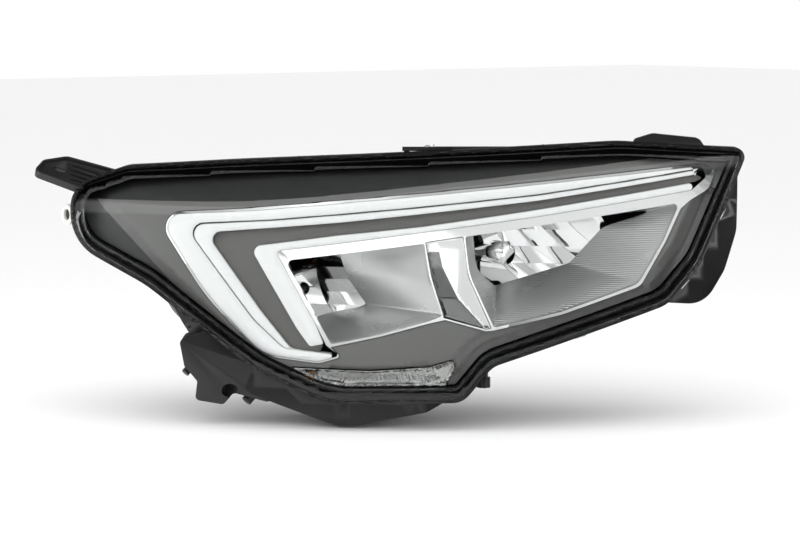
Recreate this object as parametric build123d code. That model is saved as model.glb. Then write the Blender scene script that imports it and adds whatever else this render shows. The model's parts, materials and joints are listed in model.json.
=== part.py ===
from build123d import *
import math
import os

# Swept two-chamber headlamp for the left front corner of a car.
# Row axes: X across the car towards its centre, Y backwards, Z up.
# Lamp axes: u along the lens, v up, w outward from the lens, square to u and v.

# ---- Lens and body ----
SWEEP = 38.0            # sweep of the lens from straight across, degrees
PLAN_RADIUS = 640.0     # bow of the lens in plan
PLAN_CENTRE = 20.0      # u where the bow stands furthest forward
LEAN = 0.30             # how much the lens leans back per mm of height
CROWN = 1000.0          # larger is flatter, over the lens height
ROLL_SLOPE = 2.0        # how steeply the top of the lens rolls back
ROLL_SOFT = 3.0         # softness of the ridge where the roll starts
LENS_WALL = 3.0
SKIRT_DEPTH = 20.0      # lens skirt that stands in the glue channel
CHANNEL_DEPTH = 24.0    # floor of the glue channel, below the lens face
CHANNEL_GAP = 1.5       # room for glue on both sides of the skirt
HOUSING_WALL = 3.0
RIM_SET = 9.0           # outer channel wall's edge, below the lens face
BODY_BACK = -150.0      # outer face of the back wall, in w
SHALLOW_BACK = -95.0    # back wall of the shallow part under the lamp
SHALLOW_TOP = -82.0     # v below which the body is shallow
TRIM_SET = 22.0         # front of the trim, below the lens face
TRIM_WALL = 2.5
TRIM_GAP = 1.2          # trim to the channel's inner wall

RIDGE_HEIGHT = 49.0     # v of the ridge at the outer end
RIDGE_RISE = 0.106      # how fast the ridge climbs inboard of its bend
RIDGE_BEND = -125.0     # u of that bend
RIDGE_SOFT = 25.0
FADE_START = -290.0     # u where the roll is half as steep
FADE_LENGTH = 140.0

# ---- Daytime light ----
BAR_RISE = 4.0          # light guides stand this far ahead of the trim
BAR_DEPTH = 12.0
INFILL_SET = 4.0        # infill lies this far behind the trim
FRAME_DEPTH = 10.0
BOARD_SET = 10.0        # board with the emitters lies this far behind the trim
BOARD_WALL = 1.6

# ---- Light units ----
LOW_AXIS = (118.0, 7.0)          # X and Z of the low beam axis
LOW_VERTEX = 55.0                # Y of the reflector's vertex
LOW_FOCUS = 25.0
LOW_RADIUS = 118.0               # radius that the dish is turned to before its rim is cut
HIGH_AXIS = (-20.0, -24.0)
HIGH_VERTEX = 150.0
HIGH_FOCUS = 20.0
HIGH_RADIUS = 96.0
DISH_WALL = 2.5
RIM_AT_ZERO = -90.0              # w of the reflector rims at u of zero
RIM_TILT = 0.10                  # how the rims fall back along u
LINER_REAR = -70.0               # w of the liners' rear edges at u of zero
LINER_TILT = 0.12
LINER_WALL = 2.0
BULB_R = 6.0
BULB_LENGTH = 45.0               # bulb tip ahead of the reflector's vertex
HOLDER_BORE = 17.0               # radius of the reflector's neck bore
HOLDER_GAP = 0.3
SHIELD_R = 10.0
TURN_TRAY = 22.0
TURN_BULB_R = 5.0
TURN_TIP = -20.0         # w of the bulb's tip

# ---- Adjusting gear ----
PIVOT = (69.0, 104.0, 44.0)      # ball that both aiming motions turn about
AIM_BALL = (196.0, 12.0, 44.0)   # ball of the sideways aiming screw
LEVEL_BALL = (69.0, 104.0, -56.0)
BALL_R = 4.5
BALL_GAP = 0.3
BUSH_WALL = 1.8
SHANK_R = 2.5
SOCKET_R = 11.0
SOCKET_FRONT = 5.0
MOTOR_SHAFT_R = 4.0
SLIDE_GAP = 0.05
SHANK_STEP = 16.0        # the thick shaft starts this far behind the ball
AIM_BORE = 4.0
PIVOT_BORE = 4.0

# ---- Access at the back ----
COLLAR_BORE = 42.0
COLLAR_WALL = 3.5
LOW_COLLAR_END = 149.0           # Y of the collar's open end
HIGH_COLLAR_END = 257.0
CAP_GAP = 0.3
CAP_WALL = 2.5
CAP_SKIRT = 12.0
SPIGOT_R = 38.0

# ---- Bosses and holes in the back ----
MOTOR_BOSS_R = 23.0
MOTOR_BOSS_END = 160.0
AIM_BOSS_R = 11.0
AIM_BOSS_END = 50.0
PIVOT_BOSS_END = 142.0
TURN_BULB = (-76.5, -93.5)       # u and v of the turn signal bulb
TURN_HOLE = 8.5
VENT_HOLE = 5.0
VENTS = [(-150.0, 45.0), (225.0, 60.0)]
CONNECTOR = (-95.0, 46.0)        # u and v of the main socket
CONNECTOR_SIZE = (46.0, 24.0)

# ---- Mount ----
MOUNT_BORE = 3.3                 # radius of the steel bush's bore
MOUNT_WALL = 2.4
MOUNT_LENGTH = 16.0

# ---- Underside ----
KNOB = (72.0, -108.0, -60.0)     # lowest point of the hand wheel under the step, in u, v and w
KNOB_R = 6.0
KNOB_NOTCHES = 8

DEEP = 420.0            # deeper than the whole lamp, for cutting solids
WIDE = 360.0

turn = math.radians(SWEEP)
ALONG = Vector(math.cos(turn), -math.sin(turn), 0)
OUTWARD = Vector(-math.sin(turn), -math.cos(turn), 0)
LAMP = Plane(origin=(0, 0, 0), x_dir=ALONG, z_dir=OUTWARD).location


def lamp_point(u, v, w):
    """A lamp-axes point in row axes."""
    return ALONG * u + Vector(0, 0, v) + OUTWARD * w


def soft_step(x, width):
    """Zero below x of zero, x above it, with a rounded corner."""
    if x / width > 40:
        return x
    return width * math.log1p(math.exp(x / width))


# ---- Lens surface ----
def lens_front(u, v):
    bow = math.sqrt(PLAN_RADIUS ** 2 - (u - PLAN_CENTRE) ** 2) - PLAN_RADIUS
    return bow - LEAN * v - v * v / CROWN


def ridge_height(u):
    return RIDGE_HEIGHT + RIDGE_RISE * soft_step(u - RIDGE_BEND, RIDGE_SOFT)


def lens_skin(u, v):
    fade = 0.5 + 0.5 * min(1, max(0, (u - FADE_START) / FADE_LENGTH))
    return lens_front(u, v) - ROLL_SLOPE * fade * soft_step(v - ridge_height(u), ROLL_SOFT)


def lens_inside(u, v):
    slope_u = lens_skin(u + 1, v) - lens_skin(u, v)
    slope_v = lens_skin(u, v + 1) - lens_skin(u, v)
    return lens_skin(u, v) - LENS_WALL * math.sqrt(1 + slope_u ** 2 + slope_v ** 2)


def under(skin):
    """Everything behind a skin given as w over u and v."""
    columns = [-WIDE + 2 * WIDE * i / 36 for i in range(37)]
    rows = [-170 + 5 * j for j in range(61)]
    points = [[(u, v, skin(u, v)) for v in rows] for u in columns]
    face = Face.make_surface_from_array_of_points(points, tol=0.05)
    return extrude(face, amount=DEEP, dir=(0, 0, -1))


BEHIND_LENS = under(lens_skin)


def behind_lens(depth):
    return Pos(0, 0, -depth) * BEHIND_LENS


def signed_area(corners):
    pairs = zip(corners, corners[1:] + corners[:1])
    return sum(a[0] * b[1] - b[0] * a[1] for a, b in pairs) / 2


def outline(corners):
    """Face from (u, v, corner radius) points, turned to face outward."""
    if signed_area(corners) < 0:
        corners = corners[::-1]
    points = [(u, v) for u, v, _ in corners]
    return make_face(FilletPolyline(*points, radius=[r for _, _, r in corners], close=True))


def prism(face, low=-DEEP / 2, high=120.0):
    return extrude(Pos(0, 0, low) * face, amount=high - low, dir=(0, 0, 1))


def slab(face, top, thickness):
    """Sheet that follows the lens skin, its front face `top` behind the lens."""
    return (prism(face) & behind_lens(top)) - behind_lens(top + thickness)


def behind_plane(w_at_zero, tilt):
    """Everything behind a plane that falls back along u."""
    corners = [(-WIDE, w_at_zero + tilt * WIDE), (WIDE, w_at_zero - tilt * WIDE)]
    corners += [(WIDE, -DEEP), (-WIDE, -DEEP)]
    return extrude(Plane.XZ.offset(-WIDE / 2) * make_face(Polyline(*corners, close=True)),
                   amount=WIDE, dir=(0, -1, 0))


def rod(at, radius, length, direction):
    """Cylinder that starts at a point and runs along a direction."""
    return Plane(origin=at, z_dir=direction) * Cylinder(
        radius, length, align=(Align.CENTER, Align.CENTER, Align.MIN))


def tube(at, bore, radius, length, direction):
    return rod(at, radius, length, direction) - rod(at, bore, length, direction)


def block(low, high):
    """Box between two corners."""
    size = [b - a for a, b in zip(low, high)]
    centre = [(a + b) / 2 for a, b in zip(low, high)]
    return Pos(*centre) * Box(*size)


BACK = Vector(0, 1, 0)
OUTBOARD = Vector(-1, 0, 0)
UPRIGHT = Vector(0, 0, 1)

# ---- Outlines in u and v ----
LENS = outline([(-240, 74.5, 30), (-284, 60, 18), (-283, 18, 38), (-215, -14, 120),
                (-120, -81, 100), (-60, -108, 90), (50.5, -106, 14), (75, -77, 26),
                (226, -29, 30), (254, 2, 60), (298.5, 91, 3), (190, 97, 150), (-100, 82, 300)])
BODY = outline([(-236, 70, 20), (-278, 56, 14), (-277, 20, 30), (-205, -18, 40),
                (-186, -50, 30), (-165, -80, 30), (-120, -110, 30), (-50, -134, 40),
                (22, -121, 20), (62, -98, 20), (78, -80, 12), (226, -33, 20), (262, -36, 25),
                (281, -8, 30), (293, 25, 30), (297, 89, 6), (190, 94, 100), (-100, 78, 200)])
BAR_OUTER_EDGE = [(262, 81, 3), (17, 58.5, 300), (-125, 45.5, 200), (-210, 40, 12),
                  (-164, -26, 200), (-116, -74, 40), (-68, -79, 20), (-50, -73, 2)]
BAR_INNER_EDGE = [(-57, -69, 2), (-68, -71.5, 2), (-92, -68, 8), (-118, -37, 60), (-166, 26, 7),
                  (-51, 36, 200), (119, 54, 300), (256, 73, 6)]
GUIDE_OUTER_EDGE = [(256, 67, 3), (119, 47, 300), (17, 33, 300), (-51, 26, 200),
                    (-128, 15.5, 6), (-87, -52, 100), (-76, -66.5, 4), (-64, -64, 1.5)]
GUIDE_INNER_EDGE = [(-70, -49, 60), (-105, 12, 3), (-51, 19, 200), (17, 28, 300),
                    (119, 41, 300), (252, 60, 2)]
FRAME_OUTER_EDGE = [(268, 61, 12), (277, 82, 8), (262, 83, 1), (17, 60.5, 300),
                    (-125, 47.5, 200), (-213, 41.5, 14), (-165.5, -27, 200),
                    (-116.4, -74.9, 46), (-68, -80.2, 20), (-49, -74.4, 2)]
HIGH_OPENING = [(-97, 4.5, 4), (20.5, 19.5, 2), (25, -8, 40), (35.5, -40, 2), (24, -44.5, 6),
                (-17, -55.5, 80), (-58, -64, 3)]
HIGH_REAR = [(-96, 3.5, 4), (-52, 8.5, 2), (-46, -12, 20), (-29, -36.5, 2), (-36, -39, 4),
             (-60, -43, 60), (-78, -49, 3)]
LOW_OPENING = [(55, 25, 2), (241, 50, 3), (226, 19, 60), (203, -16.5, 14), (136, -38, 100),
               (79, -50, 3), (58.5, -6, 50)]
LOW_REAR = [(63, 24, 2), (226, 43.5, 3), (176, 28, 20), (147, -3, 8), (110, -14, 60),
            (82, -22, 3), (66, -8, 20)]
DIVIDER = outline([(21.5, 20.5, 1), (53.5, 25, 1), (57, -6, 50), (77, -50.5, 1), (72, -51, 2),
                   (37, -41.5, 1), (26.5, -8, 40)])
TURN_WINDOW = outline([(-96, -83.5, 2), (-25, -85.5, 60), (25, -82, 60), (49, -75, 4),
                       (44, -88, 10), (30, -112, 14), (-60, -112, 20)])
LIGHT_FIELD = [(-58.5, -66.5, 0.5), (-17, -57.5, 80), (24, -46.5, 3),
               (38, -43.5, 1), (72, -53, 2), (79, -52.5, 3), (136, -40.5, 100), (205, -18.5, 14),
               (228, 18, 60), (242, 45, 2), (251, 52, 4)]


def ring_between(outer, inner):
    return outline(outer + inner)


# ---- Shell ----
def body_block():
    """Outer form of the moulded body, still solid."""
    flange_face = offset(LENS, CHANNEL_GAP + HOUSING_WALL)
    body = prism(BODY, low=BODY_BACK) & behind_lens(CHANNEL_DEPTH)
    flange = prism(flange_face) & behind_lens(RIM_SET)
    body += flange - behind_lens(CHANNEL_DEPTH + HOUSING_WALL)
    return LAMP * (body - block((-WIDE, -200, -DEEP), (WIDE, SHALLOW_TOP, SHALLOW_BACK)))


SOLID_BODY = body_block()


def housing():
    """Moulded body: glue channel round the front, deep box behind, two bulb collars."""
    wall = HOUSING_WALL
    groove_in = LENS_WALL + CHANNEL_GAP
    mouth = offset(LENS, -groove_in - wall + 0.5) & offset(BODY, -wall)
    body = SOLID_BODY + collar_rod(LOW_AXIS, LOW_COLLAR_END, COLLAR_BORE + COLLAR_WALL)
    body += collar_rod(HIGH_AXIS, HIGH_COLLAR_END, COLLAR_BORE + COLLAR_WALL)
    body += adjuster_bosses()
    hollow = prism(offset(BODY, -wall), low=BODY_BACK + wall) & behind_lens(CHANNEL_DEPTH + wall)
    hollow -= block((-WIDE, -200, -DEEP), (WIDE, SHALLOW_TOP + wall, SHALLOW_BACK + wall))
    body -= LAMP * hollow
    body -= LAMP * (prism(mouth, low=BODY_BACK) - behind_lens(CHANNEL_DEPTH + wall + 0.5))
    groove = prism(offset(LENS, CHANNEL_GAP) - offset(LENS, -groove_in), low=-200)
    body -= LAMP * (groove - behind_lens(CHANNEL_DEPTH))
    body -= LAMP * (prism(offset(LENS, -groove_in), low=-200) - behind_lens(CHANNEL_DEPTH / 2))
    body -= collar_rod(LOW_AXIS, LOW_COLLAR_END, COLLAR_BORE)
    body -= collar_rod(HIGH_AXIS, HIGH_COLLAR_END, COLLAR_BORE)
    return body - adjuster_bores()


def collar_rod(axis, end, radius):
    """Rod along Y through the back wall to a collar's open end."""
    x, z = axis
    start = back_wall_y(x + COLLAR_BORE) - 25
    return rod((x, start, z), radius, end - start, BACK)


def back_wall_y(x, w=BODY_BACK):
    """Y of the plane at w, over X."""
    return (-w - x * math.sin(turn)) / math.cos(turn)


def adjuster_bosses():
    bosses = rod((LEVEL_BALL[0], MOTOR_BOSS_END - 60, LEVEL_BALL[2]), MOTOR_BOSS_R, 60, BACK)
    bosses += rod((AIM_BALL[0], AIM_BOSS_END - 40, AIM_BALL[2]), AIM_BOSS_R, 40, BACK)
    bosses += rod((PIVOT[0], PIVOT_BOSS_END - 30, PIVOT[2]), AIM_BOSS_R, 30, BACK)
    return bosses


def adjuster_bores():
    bores = rod((LEVEL_BALL[0], 90, LEVEL_BALL[2]), MOTOR_BOSS_R - HOUSING_WALL, 80, BACK)
    bores += rod((AIM_BALL[0], 0, AIM_BALL[2]), AIM_BORE, 60, BACK)
    bores += rod((PIVOT[0], 100, PIVOT[2]), PIVOT_BORE, 60, BACK)
    u, v = TURN_BULB
    bores += rod(lamp_point(u, v, SHALLOW_BACK - 5), TURN_HOLE, 12, OUTWARD)
    for u, v in VENTS:
        bores += rod(lamp_point(u, v, BODY_BACK - 5), VENT_HOLE, 12, OUTWARD)
    u, v = CONNECTOR
    half_u = CONNECTOR_SIZE[0] / 2
    half_v = CONNECTOR_SIZE[1] / 2
    bores += LAMP * block((u - half_u, v - half_v, BODY_BACK - 5),
                          (u + half_u, v + half_v, BODY_BACK + 8))
    return bores


def front_lens():
    """Clear cover with a skirt all round."""
    skin = (prism(LENS) & BEHIND_LENS) - under(lens_inside)
    skirt = prism(LENS - offset(LENS, -LENS_WALL)) & BEHIND_LENS
    return LAMP * (skin + (skirt - behind_lens(SKIRT_DEPTH)))


def lens_seal():
    """Bead of sealant under the skirt."""
    face = offset(LENS, CHANNEL_GAP) - offset(LENS, -LENS_WALL - CHANNEL_GAP)
    return LAMP * slab(face, SKIRT_DEPTH, CHANNEL_DEPTH - SKIRT_DEPTH)


def trim_face():
    """Everything inside the channel's inner wall."""
    inset = LENS_WALL + CHANNEL_GAP + HOUSING_WALL - 0.5 + TRIM_GAP
    return offset(LENS, -inset) & offset(BODY, -HOUSING_WALL - TRIM_GAP)


def bezel():
    """Dark trim that fills the lens round the light field."""
    face = trim_face() - outline(FRAME_OUTER_EDGE + LIGHT_FIELD) - offset(TURN_WINDOW, 0.4)
    return LAMP * slab(face, TRIM_SET, TRIM_WALL)


# ---- Daytime light ----
def drl_outer_guide():
    face = offset(ring_between(BAR_OUTER_EDGE, BAR_INNER_EDGE), -0.2)
    return LAMP * slab(face, TRIM_SET - BAR_RISE, BAR_DEPTH)


def drl_inner_guide():
    face = offset(ring_between(GUIDE_OUTER_EDGE, GUIDE_INNER_EDGE), -0.2)
    return LAMP * slab(face, TRIM_SET - BAR_RISE, BAR_DEPTH)


def infill_zone():
    return outline(BAR_INNER_EDGE[1:] + [(264, 70, 1.2)] + GUIDE_OUTER_EDGE)


def drl_infill():
    return LAMP * slab(offset(infill_zone(), -0.2), TRIM_SET + INFILL_SET, TRIM_WALL)


def guide_zone():
    """Everything from the outer guide's outer edge to the inner guide's inner edge."""
    return outline(BAR_OUTER_EDGE + [(-57, -68.6, 1), (-62, -65, 1)] + GUIDE_INNER_EDGE
                   + [(266, 71, 3)])


def drl_frame():
    """Bright frame that runs round the guides and the chambers."""
    face = offset(outline(FRAME_OUTER_EDGE + LIGHT_FIELD), -0.2)
    face -= guide_zone()
    face -= outline(HIGH_OPENING)
    face -= outline(LOW_OPENING)
    face -= offset(DIVIDER, 0.3)
    return LAMP * slab(face, TRIM_SET - 1, FRAME_DEPTH)


def centre_divider():
    return LAMP * slab(DIVIDER, TRIM_SET - 1, FRAME_DEPTH)


def drl_led_board():
    """Narrow board behind the guides with a row of emitters."""
    edge = [(230, 74, 2), (17, 49, 200), (-130, 37, 100), (-172, 32, 2), (-170, 28, 2),
            (-130, 33, 100), (17, 45, 200), (230, 69, 2)]
    return LAMP * slab(outline(edge), TRIM_SET + BOARD_SET, BOARD_WALL)


# ---- Reflectors ----
def dish_curve(vertex, focus, radius, thickness=0.0):
    """Points of a parabola from its vertex out, moved back by a wall square to it."""
    points = []
    for r in [radius * i / 8 for i in range(9)]:
        slope = r / (2 * focus)
        points.append((r, vertex - r * r / (4 * focus) + thickness * math.sqrt(1 + slope ** 2)))
    return points


def dish(axis, vertex, focus, radius):
    """Paraboloid shell along Y that opens forward."""
    inner = dish_curve(vertex, focus, radius)
    outer = dish_curve(vertex, focus, radius, DISH_WALL)
    profile = Spline(*inner) + Line(inner[-1], outer[-1])
    profile += Spline(*outer) + Line(outer[0], inner[0])
    return Pos(axis[0], 0, axis[1]) * revolve(make_face(profile), Axis.Y)


def filled_dish(axis, vertex, focus, radius, thickness=DISH_WALL):
    """Everything ahead of a dish's back face."""
    curve = dish_curve(vertex, focus, radius, thickness)
    front = vertex - DEEP / 2
    profile = Spline(*curve) + Polyline(curve[-1], (radius, front), (0, front), curve[0])
    return Pos(axis[0], 0, axis[1]) * revolve(make_face(profile), Axis.Y)


def neck(axis, vertex):
    """Rear neck of a reflector, which the bulb holder turns in."""
    x, z = axis
    return tube((x, vertex - 2, z), HOLDER_BORE, HOLDER_BORE + 2.5, 14, BACK)


LOW_RIM = outline([(44, -34, 8), (90, -46, 20), (160, -24, 20), (200, 20, 20), (206, 52, 8),
                   (120, 46, 60), (48, 38, 8)])
HIGH_RIM = outline([(-118, 0, 8), (-100, 14, 10), (-40, 16, 8), (20, -34, 10), (6, -54, 8),
                    (-70, -62, 10), (-116, -54, 10)])


def reflector(axis, vertex, focus, radius, rim):
    shell = dish(axis, vertex, focus, radius)
    shell -= rod((axis[0], vertex - 40, axis[1]), HOLDER_BORE, 60, BACK)
    shell += neck(axis, vertex)
    trim = prism(rim, low=-DEEP, high=0) & behind_plane(RIM_AT_ZERO, RIM_TILT)
    keep = LAMP * trim + rod((axis[0], vertex - 3, axis[1]), HOLDER_BORE + 3, 30, BACK)
    return shell & keep


def low_beam_reflector():
    return reflector(LOW_AXIS, LOW_VERTEX, LOW_FOCUS, LOW_RADIUS, LOW_RIM)


def high_beam_reflector():
    return reflector(HIGH_AXIS, HIGH_VERTEX, HIGH_FOCUS, HIGH_RADIUS, HIGH_RIM)


def reflector_carrier():
    """Bridge that joins both reflectors and carries the ball sockets."""
    x, y, z = PIVOT
    plate = block((48, y - 20, -66), (94, y - 8, 56))
    plate += block((86, 40, 16), (94, y - 8, 46))
    plate += block((86, 40, -38), (94, y - 8, -12))
    plate += rod((x, y - 10, z), SOCKET_R, 10 + SOCKET_FRONT, BACK)
    plate += block((x - 10, y - 10, LEVEL_BALL[2] - 9), (x + 10, y + 7, LEVEL_BALL[2] + 9))
    plate -= Pos(*PIVOT) * Sphere(BALL_R + 2 * BALL_GAP + BUSH_WALL)
    plate -= rod(PIVOT, BALL_R + BUSH_WALL, 30, BACK)
    slot = BALL_R + BALL_GAP
    centre = Vector(*LEVEL_BALL)
    plate -= block(centre - Vector(30, slot, slot), centre + Vector(30, slot, slot))
    plate -= block(centre - Vector(30, 0, SHANK_R + 1), centre + Vector(30, 30, SHANK_R + 1))
    plate -= filled_dish(LOW_AXIS, LOW_VERTEX, LOW_FOCUS, LOW_RADIUS)
    plate -= filled_dish(HIGH_AXIS, HIGH_VERTEX, HIGH_FOCUS, HIGH_RADIUS)
    return plate


def aim_socket():
    """Slotted receiver behind the low beam reflector."""
    x, y, z = AIM_BALL
    slot = BALL_R + BALL_GAP
    centre = Vector(x, y, z)
    body = block((x - 12, y - 40, z - 8), (x + 8, y + 6.5, z + 8))
    body -= block(centre - Vector(30, slot, slot), centre + Vector(30, slot, slot))
    body -= block(centre - Vector(30, 0, SHANK_R + 1), centre + Vector(30, 30, SHANK_R + 1))
    return body - filled_dish(LOW_AXIS, LOW_VERTEX, LOW_FOCUS, LOW_RADIUS)


def pivot_bush():
    shell = Pos(*PIVOT) * (Sphere(BALL_R + BALL_GAP + BUSH_WALL) - Sphere(BALL_R + BALL_GAP))
    return shell - rod(PIVOT, SHANK_R + 1.2, 30, BACK)


def ball_stud(ball, shank_end, shank_r=SHANK_R):
    stud = Pos(*ball) * Sphere(BALL_R)
    return stud + rod(ball, shank_r, shank_end - ball[1], BACK)


def pivot_stud():
    stud = ball_stud(PIVOT, PIVOT_BOSS_END)
    seat = back_wall_y(PIVOT[0]) - 8
    stud += rod((PIVOT[0], PIVOT_BOSS_END, PIVOT[2]), 6.5, 4, BACK)
    return stud + rod((PIVOT[0], seat, PIVOT[2]), PIVOT_BORE, PIVOT_BOSS_END - seat, BACK)


# ---- Liners ----
def grown(corners, amount):
    """Polygon with every side moved out by an amount; corner radii kept in step."""
    result = []
    count = len(corners)
    side = 1 if signed_area(corners) > 0 else -1
    for i, (u, v, r) in enumerate(corners):
        before = Vector(u - corners[i - 1][0], v - corners[i - 1][1]).normalized()
        after = Vector(corners[(i + 1) % count][0] - u, corners[(i + 1) % count][1] - v)
        after = after.normalized()
        normal = Vector(before.Y, -before.X) + Vector(after.Y, -after.X)
        bisector = normal.normalized()
        stretch = amount * side / bisector.dot(Vector(before.Y, -before.X))
        result.append((u + bisector.X * stretch, v + bisector.Y * stretch, r))
    return result


def wire_on_plane(corners, at_zero, along_u, along_v):
    points = [(u, v, at_zero + along_u * u + along_v * v) for u, v, _ in corners]
    return Wire(FilletPolyline(*points, radius=[r for _, _, r in corners], close=True).edges())


def funnel(front, rear, plane, amount):
    near = wire_on_plane(grown(front, amount), *plane)
    far = wire_on_plane(grown(rear, amount), LINER_REAR, -LINER_TILT, 0)
    return Solid.make_loft([near, far], ruled=True)


def liner(front, rear, plane):
    """Tapered wall from a chamber's mouth back to its reflector."""
    shell = funnel(front, rear, plane, LINER_WALL) - funnel(front, rear, plane, 0)
    return LAMP * (shell & behind_lens(TRIM_SET + FRAME_DEPTH + 0.3))


HIGH_MOUTH = (-26.3, 0.09, -0.30)
LOW_MOUTH = (-15.2, -0.19, -0.30)


def high_beam_liner():
    return liner(grown(HIGH_OPENING, -0.2), HIGH_REAR, HIGH_MOUTH)


def low_beam_liner():
    return liner(grown(LOW_OPENING, -0.2), LOW_REAR, LOW_MOUTH)


# ---- Bulbs ----
def bulb_glass(axis, vertex):
    x, z = axis
    glass = rod((x, vertex - BULB_LENGTH + BULB_R, z), BULB_R, BULB_LENGTH - BULB_R + 4, BACK)
    return glass + Pos(x, vertex - BULB_LENGTH + BULB_R, z) * Sphere(BULB_R)


def bulb_holder(axis, vertex):
    """Bayonet holder with its three lugs, grip and plug socket."""
    x, z = axis
    seat = vertex + 12
    body = rod((x, vertex + 4, z), HOLDER_BORE - HOLDER_GAP, 8, BACK)
    body += rod((x, seat + HOLDER_GAP, z), HOLDER_BORE + 2.5, 3, BACK)
    body += rod((x, seat, z), HOLDER_BORE - 4, 10, BACK)
    body += block((x - 9, seat + 3, z - 6.5), (x + 9, seat + 22, z + 6.5))
    body -= block((x - 7.5, seat + 12, z - 5), (x + 7.5, seat + 23, z + 5))
    return body


def low_beam_bulb():
    return bulb_glass(LOW_AXIS, LOW_VERTEX)


def high_beam_bulb():
    return bulb_glass(HIGH_AXIS, HIGH_VERTEX)


def low_bulb_holder():
    return bulb_holder(LOW_AXIS, LOW_VERTEX)


def high_bulb_holder():
    return bulb_holder(HIGH_AXIS, HIGH_VERTEX)


def bulb_shield():
    """Cap ahead of the low beam bulb, on a bent strap that is fixed to the reflector."""
    x, z = LOW_AXIS
    tip = LOW_VERTEX - BULB_LENGTH
    half = 1.8
    leg = 30.0
    drop = 24.0
    shield = rod((x, tip - 8, z), SHIELD_R, 16, BACK)
    shield -= rod((x, tip - 7, z), SHIELD_R - 1, 20, BACK)
    shield += block((x - half, tip + 4, z - SHIELD_R), (x + half, tip + leg, z - SHIELD_R + 0.8))
    shield += block((x - half, tip + leg - 0.8, z - drop), (x + half, tip + leg, z - SHIELD_R))
    foot = block((x - half, tip + leg - 0.8, z - drop), (x + half, LOW_VERTEX, z - drop + 0.8))
    return shield + (foot & filled_dish(LOW_AXIS, LOW_VERTEX, LOW_FOCUS, 60, -0.01))


# ---- Turn signal ----
def turn_signal_optic():
    return LAMP * slab(offset(TURN_WINDOW, -0.1) & trim_face(), TRIM_SET - 4, TRIM_WALL)


def turn_signal_reflector():
    u, v = TURN_BULB
    face = TURN_WINDOW & trim_face()
    tray = slab(offset(face, -0.6), TRIM_SET + TRIM_WALL, TURN_TRAY)
    tray -= slab(offset(face, -2.6), TRIM_SET, TURN_TRAY)
    tray -= Pos(u, v, -60) * Cylinder(TURN_BULB_R + 1.5, 80)
    return LAMP * tray


def turn_signal_bulb():
    u, v = TURN_BULB
    base = lamp_point(u, v, TURN_TIP - 26)
    glass = rod(base, TURN_BULB_R, 26 - TURN_BULB_R, OUTWARD)
    return glass + Location(lamp_point(u, v, TURN_TIP - TURN_BULB_R)) * Sphere(TURN_BULB_R)


def turn_signal_holder():
    """Twist-in holder with a flange, a finger tab and the bulb's socket."""
    u, v = TURN_BULB
    back = SHALLOW_BACK
    body = rod(lamp_point(u, v, back - 4), TURN_HOLE - HOLDER_GAP, 14, OUTWARD)
    body += rod(lamp_point(u, v, back - 4.3), TURN_HOLE + 2, 4, OUTWARD)
    body += LAMP * block((u - 3, v - 9, back - 20), (u + 3, v + 9, back - 4))
    return body + rod(lamp_point(u, v, back), TURN_BULB_R, TURN_TIP - 26 - back, OUTWARD)


# ---- Rear covers ----
def cap(axis, end):
    """Push-on cover over a collar, with an inner spigot for its seal and a grip bar."""
    x, z = axis
    outer = COLLAR_BORE + COLLAR_WALL + CAP_GAP
    body = rod((x, end + CAP_GAP, z), outer + CAP_WALL, CAP_WALL, BACK)
    body += tube((x, end - CAP_SKIRT, z), outer, outer + CAP_WALL, CAP_SKIRT + CAP_GAP, BACK)
    body += tube((x, end - CAP_SKIRT, z), SPIGOT_R - CAP_WALL, SPIGOT_R, CAP_SKIRT + 0.5, BACK)
    body -= tube((x, end - CAP_SKIRT + 3, z), SPIGOT_R - 1, SPIGOT_R + 1, 5, BACK)
    grip_y = end + CAP_GAP + CAP_WALL
    body += block((x - 30, grip_y - 0.5, z - 4.5), (x + 30, grip_y + 11, z + 4.5))
    return body


def cap_seal(axis, end):
    x, z = axis
    return tube((x, end - CAP_SKIRT + 3, z), SPIGOT_R - 1, COLLAR_BORE - CAP_GAP, 5, BACK)


def low_beam_cap():
    return cap(LOW_AXIS, LOW_COLLAR_END)


def high_beam_cap():
    return cap(HIGH_AXIS, HIGH_COLLAR_END)


def cap_seals_low():
    return cap_seal(LOW_AXIS, LOW_COLLAR_END)


def cap_seals_high():
    return cap_seal(HIGH_AXIS, HIGH_COLLAR_END)


# ---- Drives ----
def level_motor():
    """Levelling motor: spigot in its boss, square can and plug socket behind."""
    x, z = LEVEL_BALL[0], LEVEL_BALL[2]
    end = MOTOR_BOSS_END
    can = rod((x, end - 20, z), MOTOR_BOSS_R - HOUSING_WALL - CAP_GAP, 21, BACK)
    can += fillet(block((x - 23, end + CAP_GAP, z - 23), (x + 23, end + 44, z + 19)).edges()
                  .filter_by(Axis.Y), 6)
    can += block((x - 12, end + 40, z - 30), (x + 12, end + 62, z - 12))
    can -= block((x - 10, end + 48, z - 28), (x + 10, end + 63, z - 14))
    can -= rod((x, end - 21, z), MOTOR_SHAFT_R + SLIDE_GAP, 50, BACK)
    return can


def level_motor_shaft():
    x, y, z = LEVEL_BALL
    shaft = ball_stud(LEVEL_BALL, y + SHANK_STEP)
    return shaft + rod((x, y + SHANK_STEP, z), MOTOR_SHAFT_R, MOTOR_BOSS_END + 18 - y - SHANK_STEP,
                       BACK)


def aim_screw():
    """Sideways aiming screw with its ball, shaft and knob."""
    x, y, z = AIM_BALL
    screw = ball_stud(AIM_BALL, y + SHANK_STEP)
    screw += rod((x, y + SHANK_STEP, z), AIM_BORE - SLIDE_GAP,
                 AIM_BOSS_END + 8 - y - SHANK_STEP, BACK)
    screw += rod((x, AIM_BOSS_END + 8, z), 9, 9, BACK)
    return screw - block((x - 1, AIM_BOSS_END + 14, z - 6), (x + 1, AIM_BOSS_END + 18, z + 6))


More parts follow.
